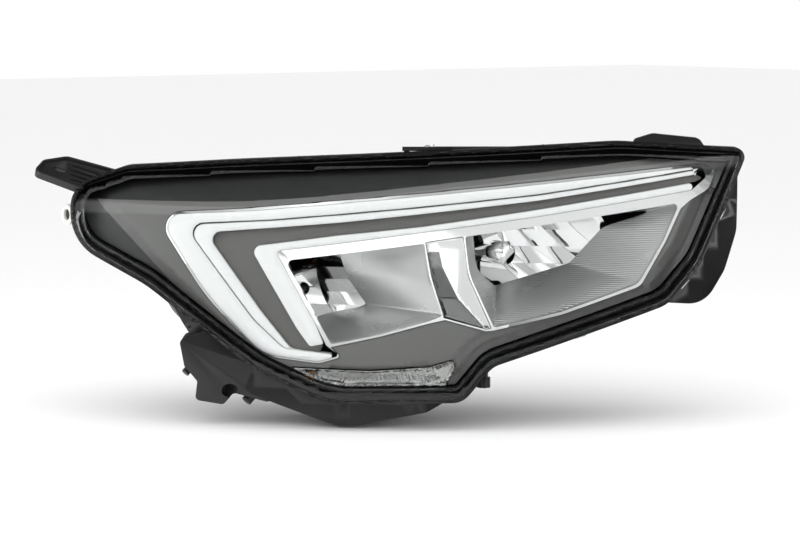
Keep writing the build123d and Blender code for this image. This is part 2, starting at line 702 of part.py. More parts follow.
# ---- Brackets and fixings ----
def upper_outer_bracket():
    """Ribbed arm that reaches outboard from the top corner of the body."""
    plane = Plane(origin=(-322, 73, -124), x_dir=(37, -12, 4), z_dir=(0.235, 0.85, 0.42))
    corners = [(-1, 0, 6), (50, -3, 6), (66, 6, 4), (112, 44, 4), (60, 46, 30), (16, 41, 9),
               (0, 22, 9)]
    plate = extrude(outline(corners), amount=-4)
    rim = extrude(outline(corners) - offset(outline(corners), -2.5), amount=2.5)
    arm = plate + rim
    for row in range(4):
        b = 9 + row * 7.5
        arm += block((30 - 3 * row, b, -1), (68 + 6 * row, b + 1.8, 1.8))
    hole = SlotCenterToCenter(5, 6.2)
    arm -= extrude(Pos(17, 19, -6) * hole, amount=12)
    return LAMP * (plane.location * arm) - SOLID_BODY


def lower_outer_bracket():
    """Wedge under the lens's outer end that holds the steel bush and two pegs."""
    face = outline([(-187, -62, 4), (-183, -84, 4), (-172, -97, 3), (-174, -113, 4),
                    (-150, -117, 4), (-141, -107, 6), (-112, -115, 4), (-104, -108, 4),
                    (-150, -50, 4)])
    wedge = LAMP * prism(face, low=-62, high=-22)
    wedge -= SOLID_BODY
    wedge -= LAMP * (prism(offset(LENS, CHANNEL_GAP + HOUSING_WALL), low=-120, high=20)
                     - behind_lens(CHANNEL_DEPTH + HOUSING_WALL))
    bush = MOUNT_BORE + MOUNT_WALL
    wedge += rod(mount_centre() - BACK * (MOUNT_LENGTH / 2 - 1), bush + 3, MOUNT_LENGTH - 2, BACK)
    wedge -= rod(mount_centre() - BACK * 40, bush, 80, BACK)
    peg = Vector(-0.75, 0, -0.66)
    wedge += rod(lamp_point(-178, -86, -40), 3.5, 9, peg)
    wedge += rod(lamp_point(-124, -108, -40), 4.5, 12, peg)
    return wedge - SOLID_BODY


def mount_centre():
    return lamp_point(-160, -105, -42)


def bracket_bush():
    start = mount_centre() - BACK * (MOUNT_LENGTH / 2)
    return tube(start, MOUNT_BORE, MOUNT_BORE + MOUNT_WALL, MOUNT_LENGTH, BACK)


def upper_inner_bracket():
    """Loop lug on top of the inner end."""
    arch = outline([(200, 80, 2), (206, 103, 4), (222, 108, 10), (262, 104, 6), (276, 84, 2)])
    eye = outline([(214, 92, 3), (218, 98, 3), (256, 95, 3), (262, 88, 2)])
    return LAMP * prism(arch - eye, low=-128, high=-114) - SOLID_BODY


def top_rail():
    """Bar on two feet along the top edge."""
    bar = LAMP * block((2, 93, -118), (46, 96.5, -112))
    for u in (6, 42):
        bar += LAMP * block((u - 2.5, 78, -117), (u + 2.5, 96, -113))
    return bar - SOLID_BODY


def driver_module():
    """Flat electronics cover on the top of the body."""
    cover = LAMP * block((30, 80, -148), (140, 95, -126))
    return cover - SOLID_BODY


def lens_clips():
    """Steel clips that grip the flange."""
    clips = []
    edge = CHANNEL_GAP + HOUSING_WALL
    for u, v, angle in CLIPS:
        at = Location((u, v, 0), (0, 0, angle))
        w = lens_skin(u, v) - CHANNEL_DEPTH - HOUSING_WALL
        bow = block((-5, edge + 0.1, w - 1), (5, edge + 1.1, w + 16))
        bow += block((-5, edge - 2, w - 2.5), (5, edge + 1.1, w - 1.5))
        clips.append(LAMP * (at * bow) - SOLID_BODY)
    return Compound(children=clips)


CLIPS = [(274.5, 43, -116.6), (240, -13.5, -132), (150.5, -53, -162.4)]


def side_peg():
    """Locating peg on the outer end."""
    foot = lamp_point(-277, 36, -140)
    peg = rod(foot, 9, 14, OUTBOARD) + rod(foot, 5, 20, OUTBOARD)
    return peg - SOLID_BODY


def peg_sleeve():
    tip = lamp_point(-277, 36, -140) + OUTBOARD * 14.3
    return tube(tip, 5.05, 9, 8, OUTBOARD)


def connector_shell():
    """Main socket in the back wall."""
    u, v = CONNECTOR
    half_u = CONNECTOR_SIZE[0] / 2
    half_v = CONNECTOR_SIZE[1] / 2
    shell = block((u - half_u, v - half_v, BODY_BACK - 18), (u + half_u, v + half_v, BODY_BACK + 6))
    shell += block((u - half_u - 3, v - half_v - 3, BODY_BACK - 3),
                   (u + half_u + 3, v + half_v + 3, BODY_BACK))
    shell -= block((u - half_u + 2, v - half_v + 2, BODY_BACK - 19),
                   (u + half_u - 2, v + half_v - 2, BODY_BACK))
    return LAMP * shell


def connector_pins():
    u, v = CONNECTOR
    pins = []
    for column in range(6):
        for row in range(2):
            pin_u = u - 15 + 6 * column
            pin_v = v - 4 + 8 * row
            pins.append(LAMP * block((pin_u - 0.8, pin_v - 0.4, BODY_BACK - 12),
                                     (pin_u + 0.8, pin_v + 0.4, BODY_BACK)))
    return Compound(children=pins)


def level_knob():
    """Notched hand wheel that stands out of the underside, beside the step."""
    foot = lamp_point(*KNOB)
    wheel = rod(foot, KNOB_R, 9, UPRIGHT)
    for i in range(KNOB_NOTCHES):
        angle = 2 * math.pi * i / KNOB_NOTCHES
        side = Vector(math.cos(angle), math.sin(angle), 0) * (KNOB_R + 0.6)
        wheel -= rod(foot + side, 1.3, 9, UPRIGHT)
    return wheel + rod(foot, KNOB_R - 2, 32, UPRIGHT) - SOLID_BODY


def vent_caps():
    vents = []
    for u, v in VENTS:
        stem = rod(lamp_point(u, v, BODY_BACK - 0.1), VENT_HOLE, 4, OUTWARD)
        head = rod(lamp_point(u, v, BODY_BACK), 8, 6, -OUTWARD)
        vents.append(stem + head)
    return Compound(children=vents)


def export(name, shape):
    export_step(Compound(label=name, children=list((ORIGIN * shape).solids())),
                f"parts/{name}.step")
    print(name, len(shape.solids()), round(shape.volume))


ORIGIN = Location(-mount_centre())

MODEL = {
    "housing": housing,
    "front_lens": front_lens,
    "lens_seal": lens_seal,
    "bezel": bezel,
    "drl_outer_guide": drl_outer_guide,
    "drl_inner_guide": drl_inner_guide,
    "drl_infill": drl_infill,
    "drl_frame": drl_frame,
    "centre_divider": centre_divider,
    "drl_led_board": drl_led_board,
    "low_beam_reflector": low_beam_reflector,
    "high_beam_reflector": high_beam_reflector,
    "reflector_carrier": reflector_carrier,
    "aim_socket": aim_socket,
    "pivot_bush": pivot_bush,
    "pivot_stud": pivot_stud,
    "high_beam_liner": high_beam_liner,
    "low_beam_liner": low_beam_liner,
    "low_beam_bulb": low_beam_bulb,
    "high_beam_bulb": high_beam_bulb,
    "low_bulb_holder": low_bulb_holder,
    "high_bulb_holder": high_bulb_holder,
    "bulb_shield": bulb_shield,
    "turn_signal_optic": turn_signal_optic,
    "turn_signal_reflector": turn_signal_reflector,
    "turn_signal_bulb": turn_signal_bulb,
    "turn_signal_holder": turn_signal_holder,
    "low_beam_cap": low_beam_cap,
    "high_beam_cap": high_beam_cap,
    "low_cap_seal": cap_seals_low,
    "high_cap_seal": cap_seals_high,
    "level_motor": level_motor,
    "level_motor_shaft": level_motor_shaft,
    "aim_screw": aim_screw,
    "upper_outer_bracket": upper_outer_bracket,
    "lower_outer_bracket": lower_outer_bracket,
    "bracket_bush": bracket_bush,
    "upper_inner_bracket": upper_inner_bracket,
    "top_rail": top_rail,
    "driver_module": driver_module,
    "lens_clips": lens_clips,
    "side_peg": side_peg,
    "peg_sleeve": peg_sleeve,
    "connector_shell": connector_shell,
    "connector_pins": connector_pins,
    "vent_caps": vent_caps,
    "level_knob": level_knob,
}

os.makedirs("parts", exist_ok=True)
for name, make in MODEL.items():
    export(name, make())
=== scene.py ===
import json
import math
import random

import bmesh
import bpy
from bpy.props import FloatProperty, FloatVectorProperty
from mathutils import Matrix, Vector
from mathutils.bvhtree import BVHTree
from mathutils.geometry import delaunay_2d_cdt

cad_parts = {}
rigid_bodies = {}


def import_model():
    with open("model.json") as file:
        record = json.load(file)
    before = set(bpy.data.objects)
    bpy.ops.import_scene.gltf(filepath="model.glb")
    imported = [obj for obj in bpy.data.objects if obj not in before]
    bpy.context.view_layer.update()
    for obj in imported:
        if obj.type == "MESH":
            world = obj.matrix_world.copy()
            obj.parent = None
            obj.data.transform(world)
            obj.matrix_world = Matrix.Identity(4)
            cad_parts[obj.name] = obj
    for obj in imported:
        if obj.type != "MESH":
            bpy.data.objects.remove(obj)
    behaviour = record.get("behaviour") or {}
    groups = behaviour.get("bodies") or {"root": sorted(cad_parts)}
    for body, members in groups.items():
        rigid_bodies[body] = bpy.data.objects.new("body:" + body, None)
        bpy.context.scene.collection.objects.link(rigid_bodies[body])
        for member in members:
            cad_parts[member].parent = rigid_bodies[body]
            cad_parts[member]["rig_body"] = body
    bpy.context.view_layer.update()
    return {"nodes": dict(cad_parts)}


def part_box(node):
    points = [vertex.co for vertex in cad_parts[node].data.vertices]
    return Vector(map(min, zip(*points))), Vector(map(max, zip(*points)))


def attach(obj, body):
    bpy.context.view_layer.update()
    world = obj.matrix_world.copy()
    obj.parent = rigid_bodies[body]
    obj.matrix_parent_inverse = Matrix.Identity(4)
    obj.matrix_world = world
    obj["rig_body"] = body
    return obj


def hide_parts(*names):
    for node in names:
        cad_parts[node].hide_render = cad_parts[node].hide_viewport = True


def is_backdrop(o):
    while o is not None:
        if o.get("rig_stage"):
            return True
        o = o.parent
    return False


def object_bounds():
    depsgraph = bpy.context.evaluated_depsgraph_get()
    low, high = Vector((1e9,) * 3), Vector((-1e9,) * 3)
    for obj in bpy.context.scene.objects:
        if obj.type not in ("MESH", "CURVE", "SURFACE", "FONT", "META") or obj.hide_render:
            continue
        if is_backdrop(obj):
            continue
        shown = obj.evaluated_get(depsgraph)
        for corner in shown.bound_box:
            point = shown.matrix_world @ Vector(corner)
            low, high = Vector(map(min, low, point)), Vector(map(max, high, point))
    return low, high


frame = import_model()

bl_info = {
    "name": "Car Headlight Builder",
    "version": (1, 0, 0),
    "blender": (4, 5, 0),
    "location": "View3D > Sidebar > Headlight",
    "description": "Builds a swept headlight's lens, trim, light guides and reflectors",
    "category": "Add Mesh",
}

MM = 0.001

# Lamp axes: u along the lens, v up, w outward. The origin is the steel bush, given here in them.
SWEEP = math.radians(38)
ORIGIN = (-160.0, -105.0, -42.0)
ALONG = Vector((math.cos(SWEEP), -math.sin(SWEEP), 0))
OUTWARD = Vector((-math.sin(SWEEP), -math.cos(SWEEP), 0))
UP = Vector((0, 0, 1))


def lamp(u, v, w):
    """A point in lamp axes, millimetres, as a place in the scene."""
    du, dv, dw = u - ORIGIN[0], v - ORIGIN[1], w - ORIGIN[2]
    return (ALONG * du + UP * dv + OUTWARD * dw) * MM


def car(x, y, z):
    """A point across, along and up the car, millimetres, as a place in the scene."""
    start = ALONG * ORIGIN[0] + UP * ORIGIN[1] + OUTWARD * ORIGIN[2]
    return (Vector((x, y, z)) - start) * MM


# ---- Lens surface ----
PLAN_RADIUS = 640.0     # bow of the lens seen from above
BOW_MIDDLE = 20.0
SIDE_RADIUS = 500.0     # bow of the lens seen from the side
LEAN = 0.30


def soft_step(x, width):
    """Nothing below zero, x above it, with a soft bend between."""
    if x / width > 40:
        return x
    return width * math.log1p(math.exp(x / width))


def lens_front(u, v):
    """Bowed and leaning face of the lens, before its crease."""
    bow = math.sqrt(PLAN_RADIUS ** 2 - (u - BOW_MIDDLE) ** 2) - PLAN_RADIUS
    return bow - LEAN * v - v * v / (2 * SIDE_RADIUS)


def ridge_height(u):
    """Height of the crease along the lens's top."""
    return 49 + 0.106 * soft_step(u + 125, 25)


def lens_skin(u, v):
    """Face of the lens: it falls back above the crease, less so at the outer end."""
    fade = 0.5 + 0.5 * min(1, max(0, (u + 290) / 140))
    return lens_front(u, v) - 2.0 * fade * soft_step(v - ridge_height(u), 3.0)


def steepness(u, v):
    """Depth of the lens wall straight back, for each millimetre of its thickness."""
    slope_u = lens_skin(u + 1, v) - lens_skin(u, v)
    slope_v = lens_skin(u, v + 1) - lens_skin(u, v)
    return math.sqrt(1 + slope_u ** 2 + slope_v ** 2)


# ---- Outlines: corner points in u and v, each with the radius that rounds it ----
LENS = [(-240, 74.5, 30), (-284, 60, 18), (-283, 18, 38), (-215, -14, 120), (-120, -81, 100),
        (-60, -108, 90), (50.5, -106, 14), (75, -77, 26), (226, -29, 30), (254, 2, 60),
        (298.5, 91, 3), (190, 97, 150), (-100, 82, 300)]
BAR_OUTER = [(262, 81, 3), (17, 58.5, 300), (-125, 45.5, 200), (-210, 40, 12),
             (-164, -26, 200), (-116, -74, 40), (-68, -79, 20), (-50, -73, 2)]
BAR_CREASE = [(-62, -71.5, 1), (-98, -68, 14), (-124, -45, 60), (-186, 33, 9), (-110, 38, 200),
              (17, 49.5, 300), (119, 59.5, 300), (258, 78, 3)]
BAR_INNER = [(-57, -69, 2), (-68, -71.5, 2), (-92, -68, 8), (-118, -37, 60), (-166, 26, 7),
             (-51, 36, 200), (119, 54, 300), (256, 73, 6)]
GUIDE_OUTER = [(256, 67, 3), (119, 47, 300), (17, 33, 300), (-51, 26, 200), (-128, 15.5, 6),
               (-87, -52, 100), (-76, -66.5, 4), (-64, -64, 1.5)]
GUIDE_INNER = [(-70, -49, 60), (-105, 12, 3), (-51, 19, 200), (17, 28, 300), (119, 41, 300),
               (252, 60, 2)]
FRAME_OUTER = [(268, 61, 12), (277, 82, 8), (262, 83, 1), (17, 60.5, 300), (-125, 47.5, 200),
               (-213, 41.5, 14), (-165.5, -27, 200), (-116.4, -74.9, 46), (-68, -80.2, 20),
               (-49, -74.4, 2)]
LIGHT_FIELD = [(-58.5, -66.5, 0.5), (-17, -57.5, 80), (24, -46.5, 3), (38, -43.5, 1),
               (72, -53, 2), (79, -52.5, 3), (136, -40.5, 100), (205, -18.5, 14), (228, 18, 60),
               (242, 45, 2), (251, 52, 4)]
HIGH_OPENING = [(-97, 4.5, 4), (20.5, 19.5, 2), (25, -8, 40), (35.5, -40, 2), (24, -44.5, 6),
                (-17, -55.5, 80), (-58, -64, 3)]
HIGH_REAR = [(-96, 3.5, 4), (-52, 8.5, 2), (-46, -12, 20), (-29, -36.5, 2), (-36, -39, 4),
             (-60, -43, 60), (-78, -49, 3)]
LOW_OPENING = [(55, 25, 2), (241, 50, 3), (226, 19, 60), (203, -16.5, 14), (136, -38, 100),
               (79, -50, 3), (58.5, -6, 50)]
LOW_REAR = [(63, 24, 2), (226, 43.5, 3), (176, 28, 20), (147, -3, 8), (110, -14, 60),
            (82, -22, 3), (66, -8, 20)]
DIVIDER = [(21.5, 20.5, 1), (53.5, 25, 1), (57, -6, 50), (77, -50.5, 1), (72, -51, 2),
           (37, -41.5, 1), (26.5, -8, 40)]
TURN_WINDOW = [(-96, -83.5, 2), (-25, -85.5, 60), (25, -82, 60), (49, -75, 4), (44, -88, 10),
               (30, -112, 14), (-60, -112, 20)]
SIDE_FOLD = [(-261, 46), (-163, -48)]
LOW_RIM = [(44, -34, 8), (90, -46, 20), (160, -24, 20), (200, 20, 20), (206, 52, 8),
           (120, 46, 60), (48, 38, 8)]
HIGH_RIM = [(-118, 0, 8), (-100, 14, 10), (-40, 16, 8), (20, -34, 10), (6, -54, 8),
            (-70, -62, 10), (-116, -54, 10)]

# ---- Sizes, millimetres ----
LENS_WALL = 3.0
LENS_ROUND = 1.6        # rounding of the lens's front edge
SKIRT = 20.0            # the lens's edge reaches this far back
TRIM_SET = 22.0         # trim behind the lens's face
TRIM_WALL = 2.5
TRIM_GAP = 8.4          # trim edge inside the lens's outline
TOP_BAND_SET = 1.5      # the top trim's black starts this far above the lens's crease
SIDE_END = -60          # u where the side panels end
SIDE_DROP = 5.0         # side panel below the trim beside it
SIDE_SLOPE = 10.0       # width of the slope between them
BAND_START = 215        # u where the inner end's contour bands start
BANDS = (222, 234, 238, 246)
BAND_LEAN = 0.5
EDGE_STEPS = (5, 8, 13, 17)
GUIDE_SET = 18.0
GUIDE_DEPTH = 12.0
GUIDE_CROWN = 2.2       # a light guide falls this far from its middle to its edge
GUIDE_FALL = 6.5        # width of that fall
TILE_BACK = 1.2         # thickness of a facet behind the dish's face
TILE_LIFT = 0.35
HOLDER_HOLE = 19.0      # radius kept free round each bulb
RIM_PLANE = (-91, 0.10)   # where facets stop: depth at u = 0, and its fall along u
WALL_REAR = (-70, 0.12)   # the same for the rear edge of the chamber walls
LINER_WALL = 1.6
FINE_SIDE = 60          # points along each side of a fluted wall
PLAIN_SIDE = 16
LINER_STEPS = 26
GRAIN_DEPTH = 0.2 * MM
FLUTE_DEPTH = 0.6 * MM


def signed_area(points):
    """Area of a loop, positive when it runs anticlockwise."""
    return sum(a[0] * b[1] - b[0] * a[1] for a, b in zip(points, points[1:] + points[:1])) / 2


def rounded(corners, step=3.0):
    """Closed outline through rounded corners, anticlockwise, points about a step apart."""
    if signed_area(corners) < 0:
        corners = corners[::-1]
    knots = []
    for i, (u, v, r) in enumerate(corners):
        here = Vector((u, v))
        back = (Vector(corners[i - 1][:2]) - here).normalized()
        on = (Vector(corners[(i + 1) % len(corners)][:2]) - here).normalized()
        half = math.acos(max(-1, min(1, back.dot(on)))) / 2
        reach = r / math.tan(half)
        centre = here + (back + on).normalized() * (r / math.sin(half))
        first = here + back * reach
        sweep = math.pi - 2 * half
        turn = 1 if (here - first).cross(here + on * reach - here) > 0 else -1
        count = max(2, int(r * sweep / step) + 1, int(sweep / 0.35) + 1)
        spoke = first - centre
        for k in range(count + 1):
            knots.append(centre + Matrix.Rotation(turn * sweep * k / count, 2) @ spoke)
    points = []
    for a, b in zip(knots, knots[1:] + knots[:1]):
        length = (b - a).length
        pieces = max(1, round(length / step))
        if length > 0.02:
            points += [tuple(a.lerp(b, k / pieces)) for k in range(pieces)]
    return points


def inset(points, amount):
    """Loop moved inwards by an amount, point for point."""
    moved = []
    for i, (u, v) in enumerate(points):
        ahead = Vector(points[(i + 1) % len(points)]) - Vector(points[i - 1])
        ahead.normalize()
        moved.append((u - ahead.y * amount, v + ahead.x * amount))
    return moved


def inside(points, u, v):
    """Whether a point is inside a loop."""
    hit = False
    for (au, av), (bu, bv) in zip(points, points[1:] + points[:1]):
        if (av > v) != (bv > v) and u < (bu - au) * (v - av) / (bv - av) + au:
            hit = not hit
    return hit


def distance(loops, u, v):
    """Distance to the nearest edge of a set of loops."""
    nearest = 1e9
    for points in loops:
        for (au, av), (bu, bv) in zip(points, points[1:] + points[:1]):
            du, dv = bu - au, bv - av
            t = max(0, min(1, ((u - au) * du + (v - av) * dv) / (du * du + dv * dv)))
            nearest = min(nearest, (u - au - t * du) ** 2 + (v - av - t * dv) ** 2)
    return math.sqrt(nearest)


def triangulate(loops, step, rounding, lines=()):
    """Points and triangles that fill the first loop less the others, with edges along lines."""
    points = []
    edges = []
    for loop in loops:
        start = len(points)
        points += loop
        edges += [(start + i, start + (i + 1) % len(loop)) for i in range(len(loop))]
    for line in lines:
        held = [p for p in line if inside(loops[0], *p) and distance(loops, *p) > 0.4
                and not any(inside(h, *p) for h in loops[1:])]
        start = len(points)
        points += held
        edges += [(start + i, start + i + 1) for i in range(len(held) - 1)
                  if math.dist(held[i], held[i + 1]) < 2 * step]
    for index, loop in enumerate(loops):
        sign = 1 if index == 0 else -1
        for share in ((0.15, 0.45, 1.0) if rounding else ()):
            for u, v in inset(loop, sign * rounding * share):
                if distance(loops, u, v) > rounding * share * 0.8:
                    points.append((u, v))
    outer = loops[0]
    low_u, high_u = min(p[0] for p in outer), max(p[0] for p in outer)
    low_v, high_v = min(p[1] for p in outer), max(p[1] for p in outer)
    rows = int((high_v - low_v) / step) + 1
    columns = int((high_u - low_u) / step) + 1
    for row in range(rows):
        for column in range(columns):
            u = low_u + step * (column + 0.5 * (row % 2))
            v = low_v + step * (row + 0.5)
            if inside(outer, u, v) and not any(inside(h, u, v) for h in loops[1:]):
                if distance(loops, u, v) > max(0.5 * step, rounding * 1.3):
                    points.append((u, v))
    coords = [Vector(p) for p in points]
    out, _, faces, origins, _, _ = delaunay_2d_cdt(coords, edges, [], 1, 1e-4)
    keep = []
    for face in faces:
        u = sum(out[i].x for i in face) / 3
        v = sum(out[i].y for i in face) / 3
        if inside(outer, u, v) and not any(inside(h, u, v) for h in loops[1:]):
            keep.append(tuple(face))
    where = {}
    for new, olds in enumerate(origins):
        for old in olds:
            where[old] = new
    rims = []
    start = 0
    for loop in loops:
        rims.append([where[start + i] for i in range(len(loop))])
        start += len(loop)
    return [(p.x, p.y) for p in out], keep, rims


def new_mesh(name, points, faces, materials, smooth=40):
    """Object from points in metres, shaded smooth up to an angle."""
    mesh = bpy.data.meshes.new(name)
    mesh.from_pydata([tuple(p) for p in points], [], faces)
    mesh.validate()
    for material in materials:
        mesh.materials.append(material)
    piece = bpy.data.objects.new(name, mesh)
    bpy.context.scene.collection.objects.link(piece)
    shade(mesh, smooth)
    return piece


def shade(mesh, angle):
    """Smooth shading, with edges sharper than an angle in degrees kept hard."""
    mesh.shade_smooth()
    if angle:
        mesh.set_sharp_from_angle(angle=math.radians(angle))


def edge_fall(edge, rounding):
    """How far a rounded edge lies below the face, at a distance from the edge."""
    if edge >= rounding:
        return 0.0
    return rounding - math.sqrt(rounding ** 2 - (rounding - edge) ** 2)


def plate(name, loops, materials, set_back, wall, step=6.0, rounding=0.8, relief=None, pick=None,
          lines=()):
    """Closed sheet that follows the lens skin, with rounded front edges and a relief."""
    flat, triangles, rims = triangulate(loops, step, rounding, lines)
    front = []
    rear = []
    for u, v in flat:
        fall = edge_fall(distance(loops, u, v), rounding)
        height = relief(u, v) if relief else 0.0
        base = lens_skin(u, v) - set_back
        front.append(lamp(u, v, base - fall + height))
        rear.append(lamp(u, v, base - wall + min(height, 0.0)))
    count = len(front)
    faces = list(triangles) + [(c + count, b + count, a + count) for a, b, c in triangles]
    for rim_index, rim in enumerate(rims):
        if rim_index:
            rim = rim if signed_area(loops[rim_index]) < 0 else rim[::-1]
        for a, b in zip(rim, rim[1:] + rim[:1]):
            faces.append((b, a, a + count, b + count))
    piece = new_mesh(name, front + rear, faces, materials)
    if pick:
        for polygon, face in zip(piece.data.polygons, faces):
            centre = [sum(flat[i % count][k] for i in face) / len(face) for k in (0, 1)]
            polygon.material_index = pick(*centre)
    return piece


def cad_copy(node, materials, bevel=0.0):
    """Copy of a CAD piece with its points merged, shaded, and its edges eased."""
    source = frame["nodes"][node]
    mesh = source.data.copy()
    mesh.name = node + "_shell"
    piece = bpy.data.objects.new(node + "_shell", mesh)
    bpy.context.scene.collection.objects.link(piece)
    bm = bmesh.new()
    bm.from_mesh(mesh)
    bmesh.ops.remove_doubles(bm, verts=bm.verts, dist=0.02 * MM)
    if bevel:
        bmesh.ops.dissolve_limit(bm, angle_limit=math.radians(1.0), verts=bm.verts, edges=bm.edges)
    bm.to_mesh(mesh)
    bm.free()
    mesh.materials.clear()
    for material in materials:
        mesh.materials.append(material)
    if bevel:
        ease = piece.modifiers.new("eased edges", "BEVEL")
        ease.width = bevel * MM
        ease.segments = 2
        ease.limit_method = "ANGLE"
        ease.angle_limit = math.radians(38)
        apply_modifiers(piece)
    shade(piece.data, 32)
    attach(piece, source["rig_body"])
    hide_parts(node)


def apply_modifiers(piece):
    """Turns what the modifiers make into the piece's own mesh."""
    graph = bpy.context.evaluated_depsgraph_get()
    graph.update()
    mesh = bpy.data.meshes.new_from_object(piece.evaluated_get(graph))
    piece.modifiers.clear()
    piece.data = mesh


# ---- Node trees ----
def fill_in(tree, node, inputs):
    """Gives each input its value, or a link from another node's output."""
    for key, value in inputs.items():
        if isinstance(value, bpy.types.NodeSocket):
            tree.links.new(value, node.inputs[key])
        else:
            node.inputs[key].default_value = value


def add(tree, kind, inputs=None, **settings):
    """New node in a tree, with its settings and its inputs."""
    node = tree.nodes.new(kind)
    for key, value in settings.items():
        setattr(node, key, value)
    fill_in(tree, node, inputs or {})
    return node


def combine(tree, operation, first, second):
    """What a math node makes of two values."""
    return add(tree, "ShaderNodeMath", {0: first, 1: second},
               operation=operation).outputs["Value"]


def mix_shaders(tree, share, first, second):
    """A share of the second shader over the first."""
    return add(tree, "ShaderNodeMixShader", {"Fac": share, 1: first, 2: second}).outputs["Shader"]


def make_group(name, inputs, outputs, tree_kind="ShaderNodeTree"):
    """Node group with named inputs and outputs, and the sockets that its inputs come from."""
    group = bpy.data.node_groups.new(name, tree_kind)
    for label, kind, default in inputs:
        socket = group.interface.new_socket(name=label, in_out="INPUT", socket_type=kind)
        if default is not None:
            socket.default_value = default
    for label, kind in outputs:
        group.interface.new_socket(name=label, in_out="OUTPUT", socket_type=kind)
    return group, add(group, "NodeGroupInput").outputs


def grain_group():
    """Moulded grain: puts out a drifting roughness and a height."""
    group, start = make_group(
        "moulded grain",
        [("Scale", "NodeSocketFloat", 900.0), ("Rough Low", "NodeSocketFloat", 0.4),
         ("Rough High", "NodeSocketFloat", 0.55)],
        [("Roughness", "NodeSocketFloat"), ("Height", "NodeSocketFloat")])
    coords = add(group, "ShaderNodeTexCoord").outputs["Object"]
    noise = add(group, "ShaderNodeTexNoise",
                {"Detail": 3.0, "Vector": coords, "Scale": start["Scale"]})
    cloud = add(group, "ShaderNodeTexNoise", {"Scale": 22.0, "Vector": coords})
    spread = add(group, "ShaderNodeMapRange",
                 {"Value": cloud.outputs["Fac"], "From Min": 0.35, "From Max": 0.65,
                  "To Min": start["Rough Low"], "To Max": start["Rough High"]})
    add(group, "NodeGroupOutput",
        {"Roughness": spread.outputs["Result"], "Height": noise.outputs["Fac"]})
    return group


def tone_group():
    """Slight drift between two colours: puts out a colour."""
    group, start = make_group(
        "tone drift",
        [("Colour", "NodeSocketColor", (0.1, 0.1, 0.1, 1)),
         ("Second Colour", "NodeSocketColor", (0.12, 0.12, 0.12, 1)),
         ("Scale", "NodeSocketFloat", 14.0)],
        [("Colour", "NodeSocketColor")])
    noise = add(group, "ShaderNodeTexNoise",
                {"Detail": 4.0, "Scale": start["Scale"],
                 "Vector": add(group, "ShaderNodeTexCoord").outputs["Object"]})
    blend = add(group, "ShaderNodeMix",
                {"Factor": noise.outputs["Fac"], "A": start["Colour"],
                 "B": start["Second Colour"]}, data_type="RGBA")
    add(group, "NodeGroupOutput", {"Colour": blend.outputs["Result"]})
    return group


GROUPS = {}


def use_group(tree, maker, inputs):
    """Outputs of a node group in a tree; the group itself is made once."""
    if maker not in GROUPS:
        GROUPS[maker] = maker()
    return add(tree, "ShaderNodeGroup", inputs, node_tree=GROUPS[maker]).outputs


# ---- Materials ----
def blank_material(name):
    """New material, its node tree and its main shader."""
    material = bpy.data.materials.new(name)
    material.use_nodes = True
    return material, material.node_tree, material.node_tree.nodes["Principled BSDF"]


def grey(level):
    return (level, level, level)


def plastic(name, colour, second, rough=(0.35, 0.5), grain=900.0, bump=0.15, coat=0.0,
            metal=0.0):
    """Moulded plastic or satin metal with grain, roughness drift and colour drift."""
    material, tree, shader = blank_material(name)
    tone = use_group(tree, tone_group, {"Colour": (*colour, 1), "Second Colour": (*second, 1)})
    grains = use_group(tree, grain_group,
                       {"Scale": grain, "Rough Low": rough[0], "Rough High": rough[1]})
    bumps = add(tree, "ShaderNodeBump",
                {"Strength": bump, "Distance": GRAIN_DEPTH, "Height": grains["Height"]})
    fill_in(tree, shader, {"Base Color": tone["Colour"], "Roughness": grains["Roughness"],
                           "Normal": bumps.outputs["Normal"], "Coat Weight": coat,
                           "Coat Roughness": 0.08, "Metallic": metal})
    return material


def fluted_metal(name, colour, second, rough, period, depth):
    """Satin metal with fine level flutes."""
    material = plastic(name, colour, second, rough, 900.0, 0.04, metal=0.85)
    tree = material.node_tree
    wave = add(tree, "ShaderNodeTexWave",
               {"Scale": 2 * math.pi / (20 * period * MM), "Distortion": 0.0,
                "Vector": add(tree, "ShaderNodeTexCoord").outputs["Object"]},
               bands_direction="Z")
    bumps = add(tree, "ShaderNodeBump",
                {"Strength": depth, "Distance": FLUTE_DEPTH, "Height": wave.outputs["Fac"]})
    grain_bump = tree.nodes["Principled BSDF"].inputs["Normal"].links[0].from_node
    tree.links.new(bumps.outputs["Normal"], grain_bump.inputs["Normal"])
    return material


def clear_plastic(name, tint, rough=0.0, ior=1.49):
    """Clear part that lets straight light through and mirrors nothing on its inner face."""
    material, tree, shader = blank_material(name)
    fill_in(tree, shader, {"Base Color": (*tint, 1), "Roughness": rough, "IOR": ior,
                           "Transmission Weight": 1.0})
    path = add(tree, "ShaderNodeLightPath").outputs
    inner_face = add(tree, "ShaderNodeNewGeometry").outputs["Backfacing"]
    through = add(tree, "ShaderNodeBsdfTransparent", {"Color": (*tint, 1)})
    dark = add(tree, "ShaderNodeBsdfTransparent", {"Color": (0, 0, 0, 1)})
    straight = combine(tree, "MAXIMUM", path["Is Shadow Ray"], path["Is Diffuse Ray"])
    mirrored = combine(tree, "MULTIPLY", path["Is Glossy Ray"], path["Is Reflection Ray"])
    mix = mix_shaders(tree, straight, shader.outputs["BSDF"], through.outputs["BSDF"])
    coated = mix_shaders(tree, combine(tree, "MULTIPLY", mirrored, inner_face), mix,
                         dark.outputs["BSDF"])
    fill_in(tree, tree.nodes["Material Output"], {"Surface": coated})
    return material


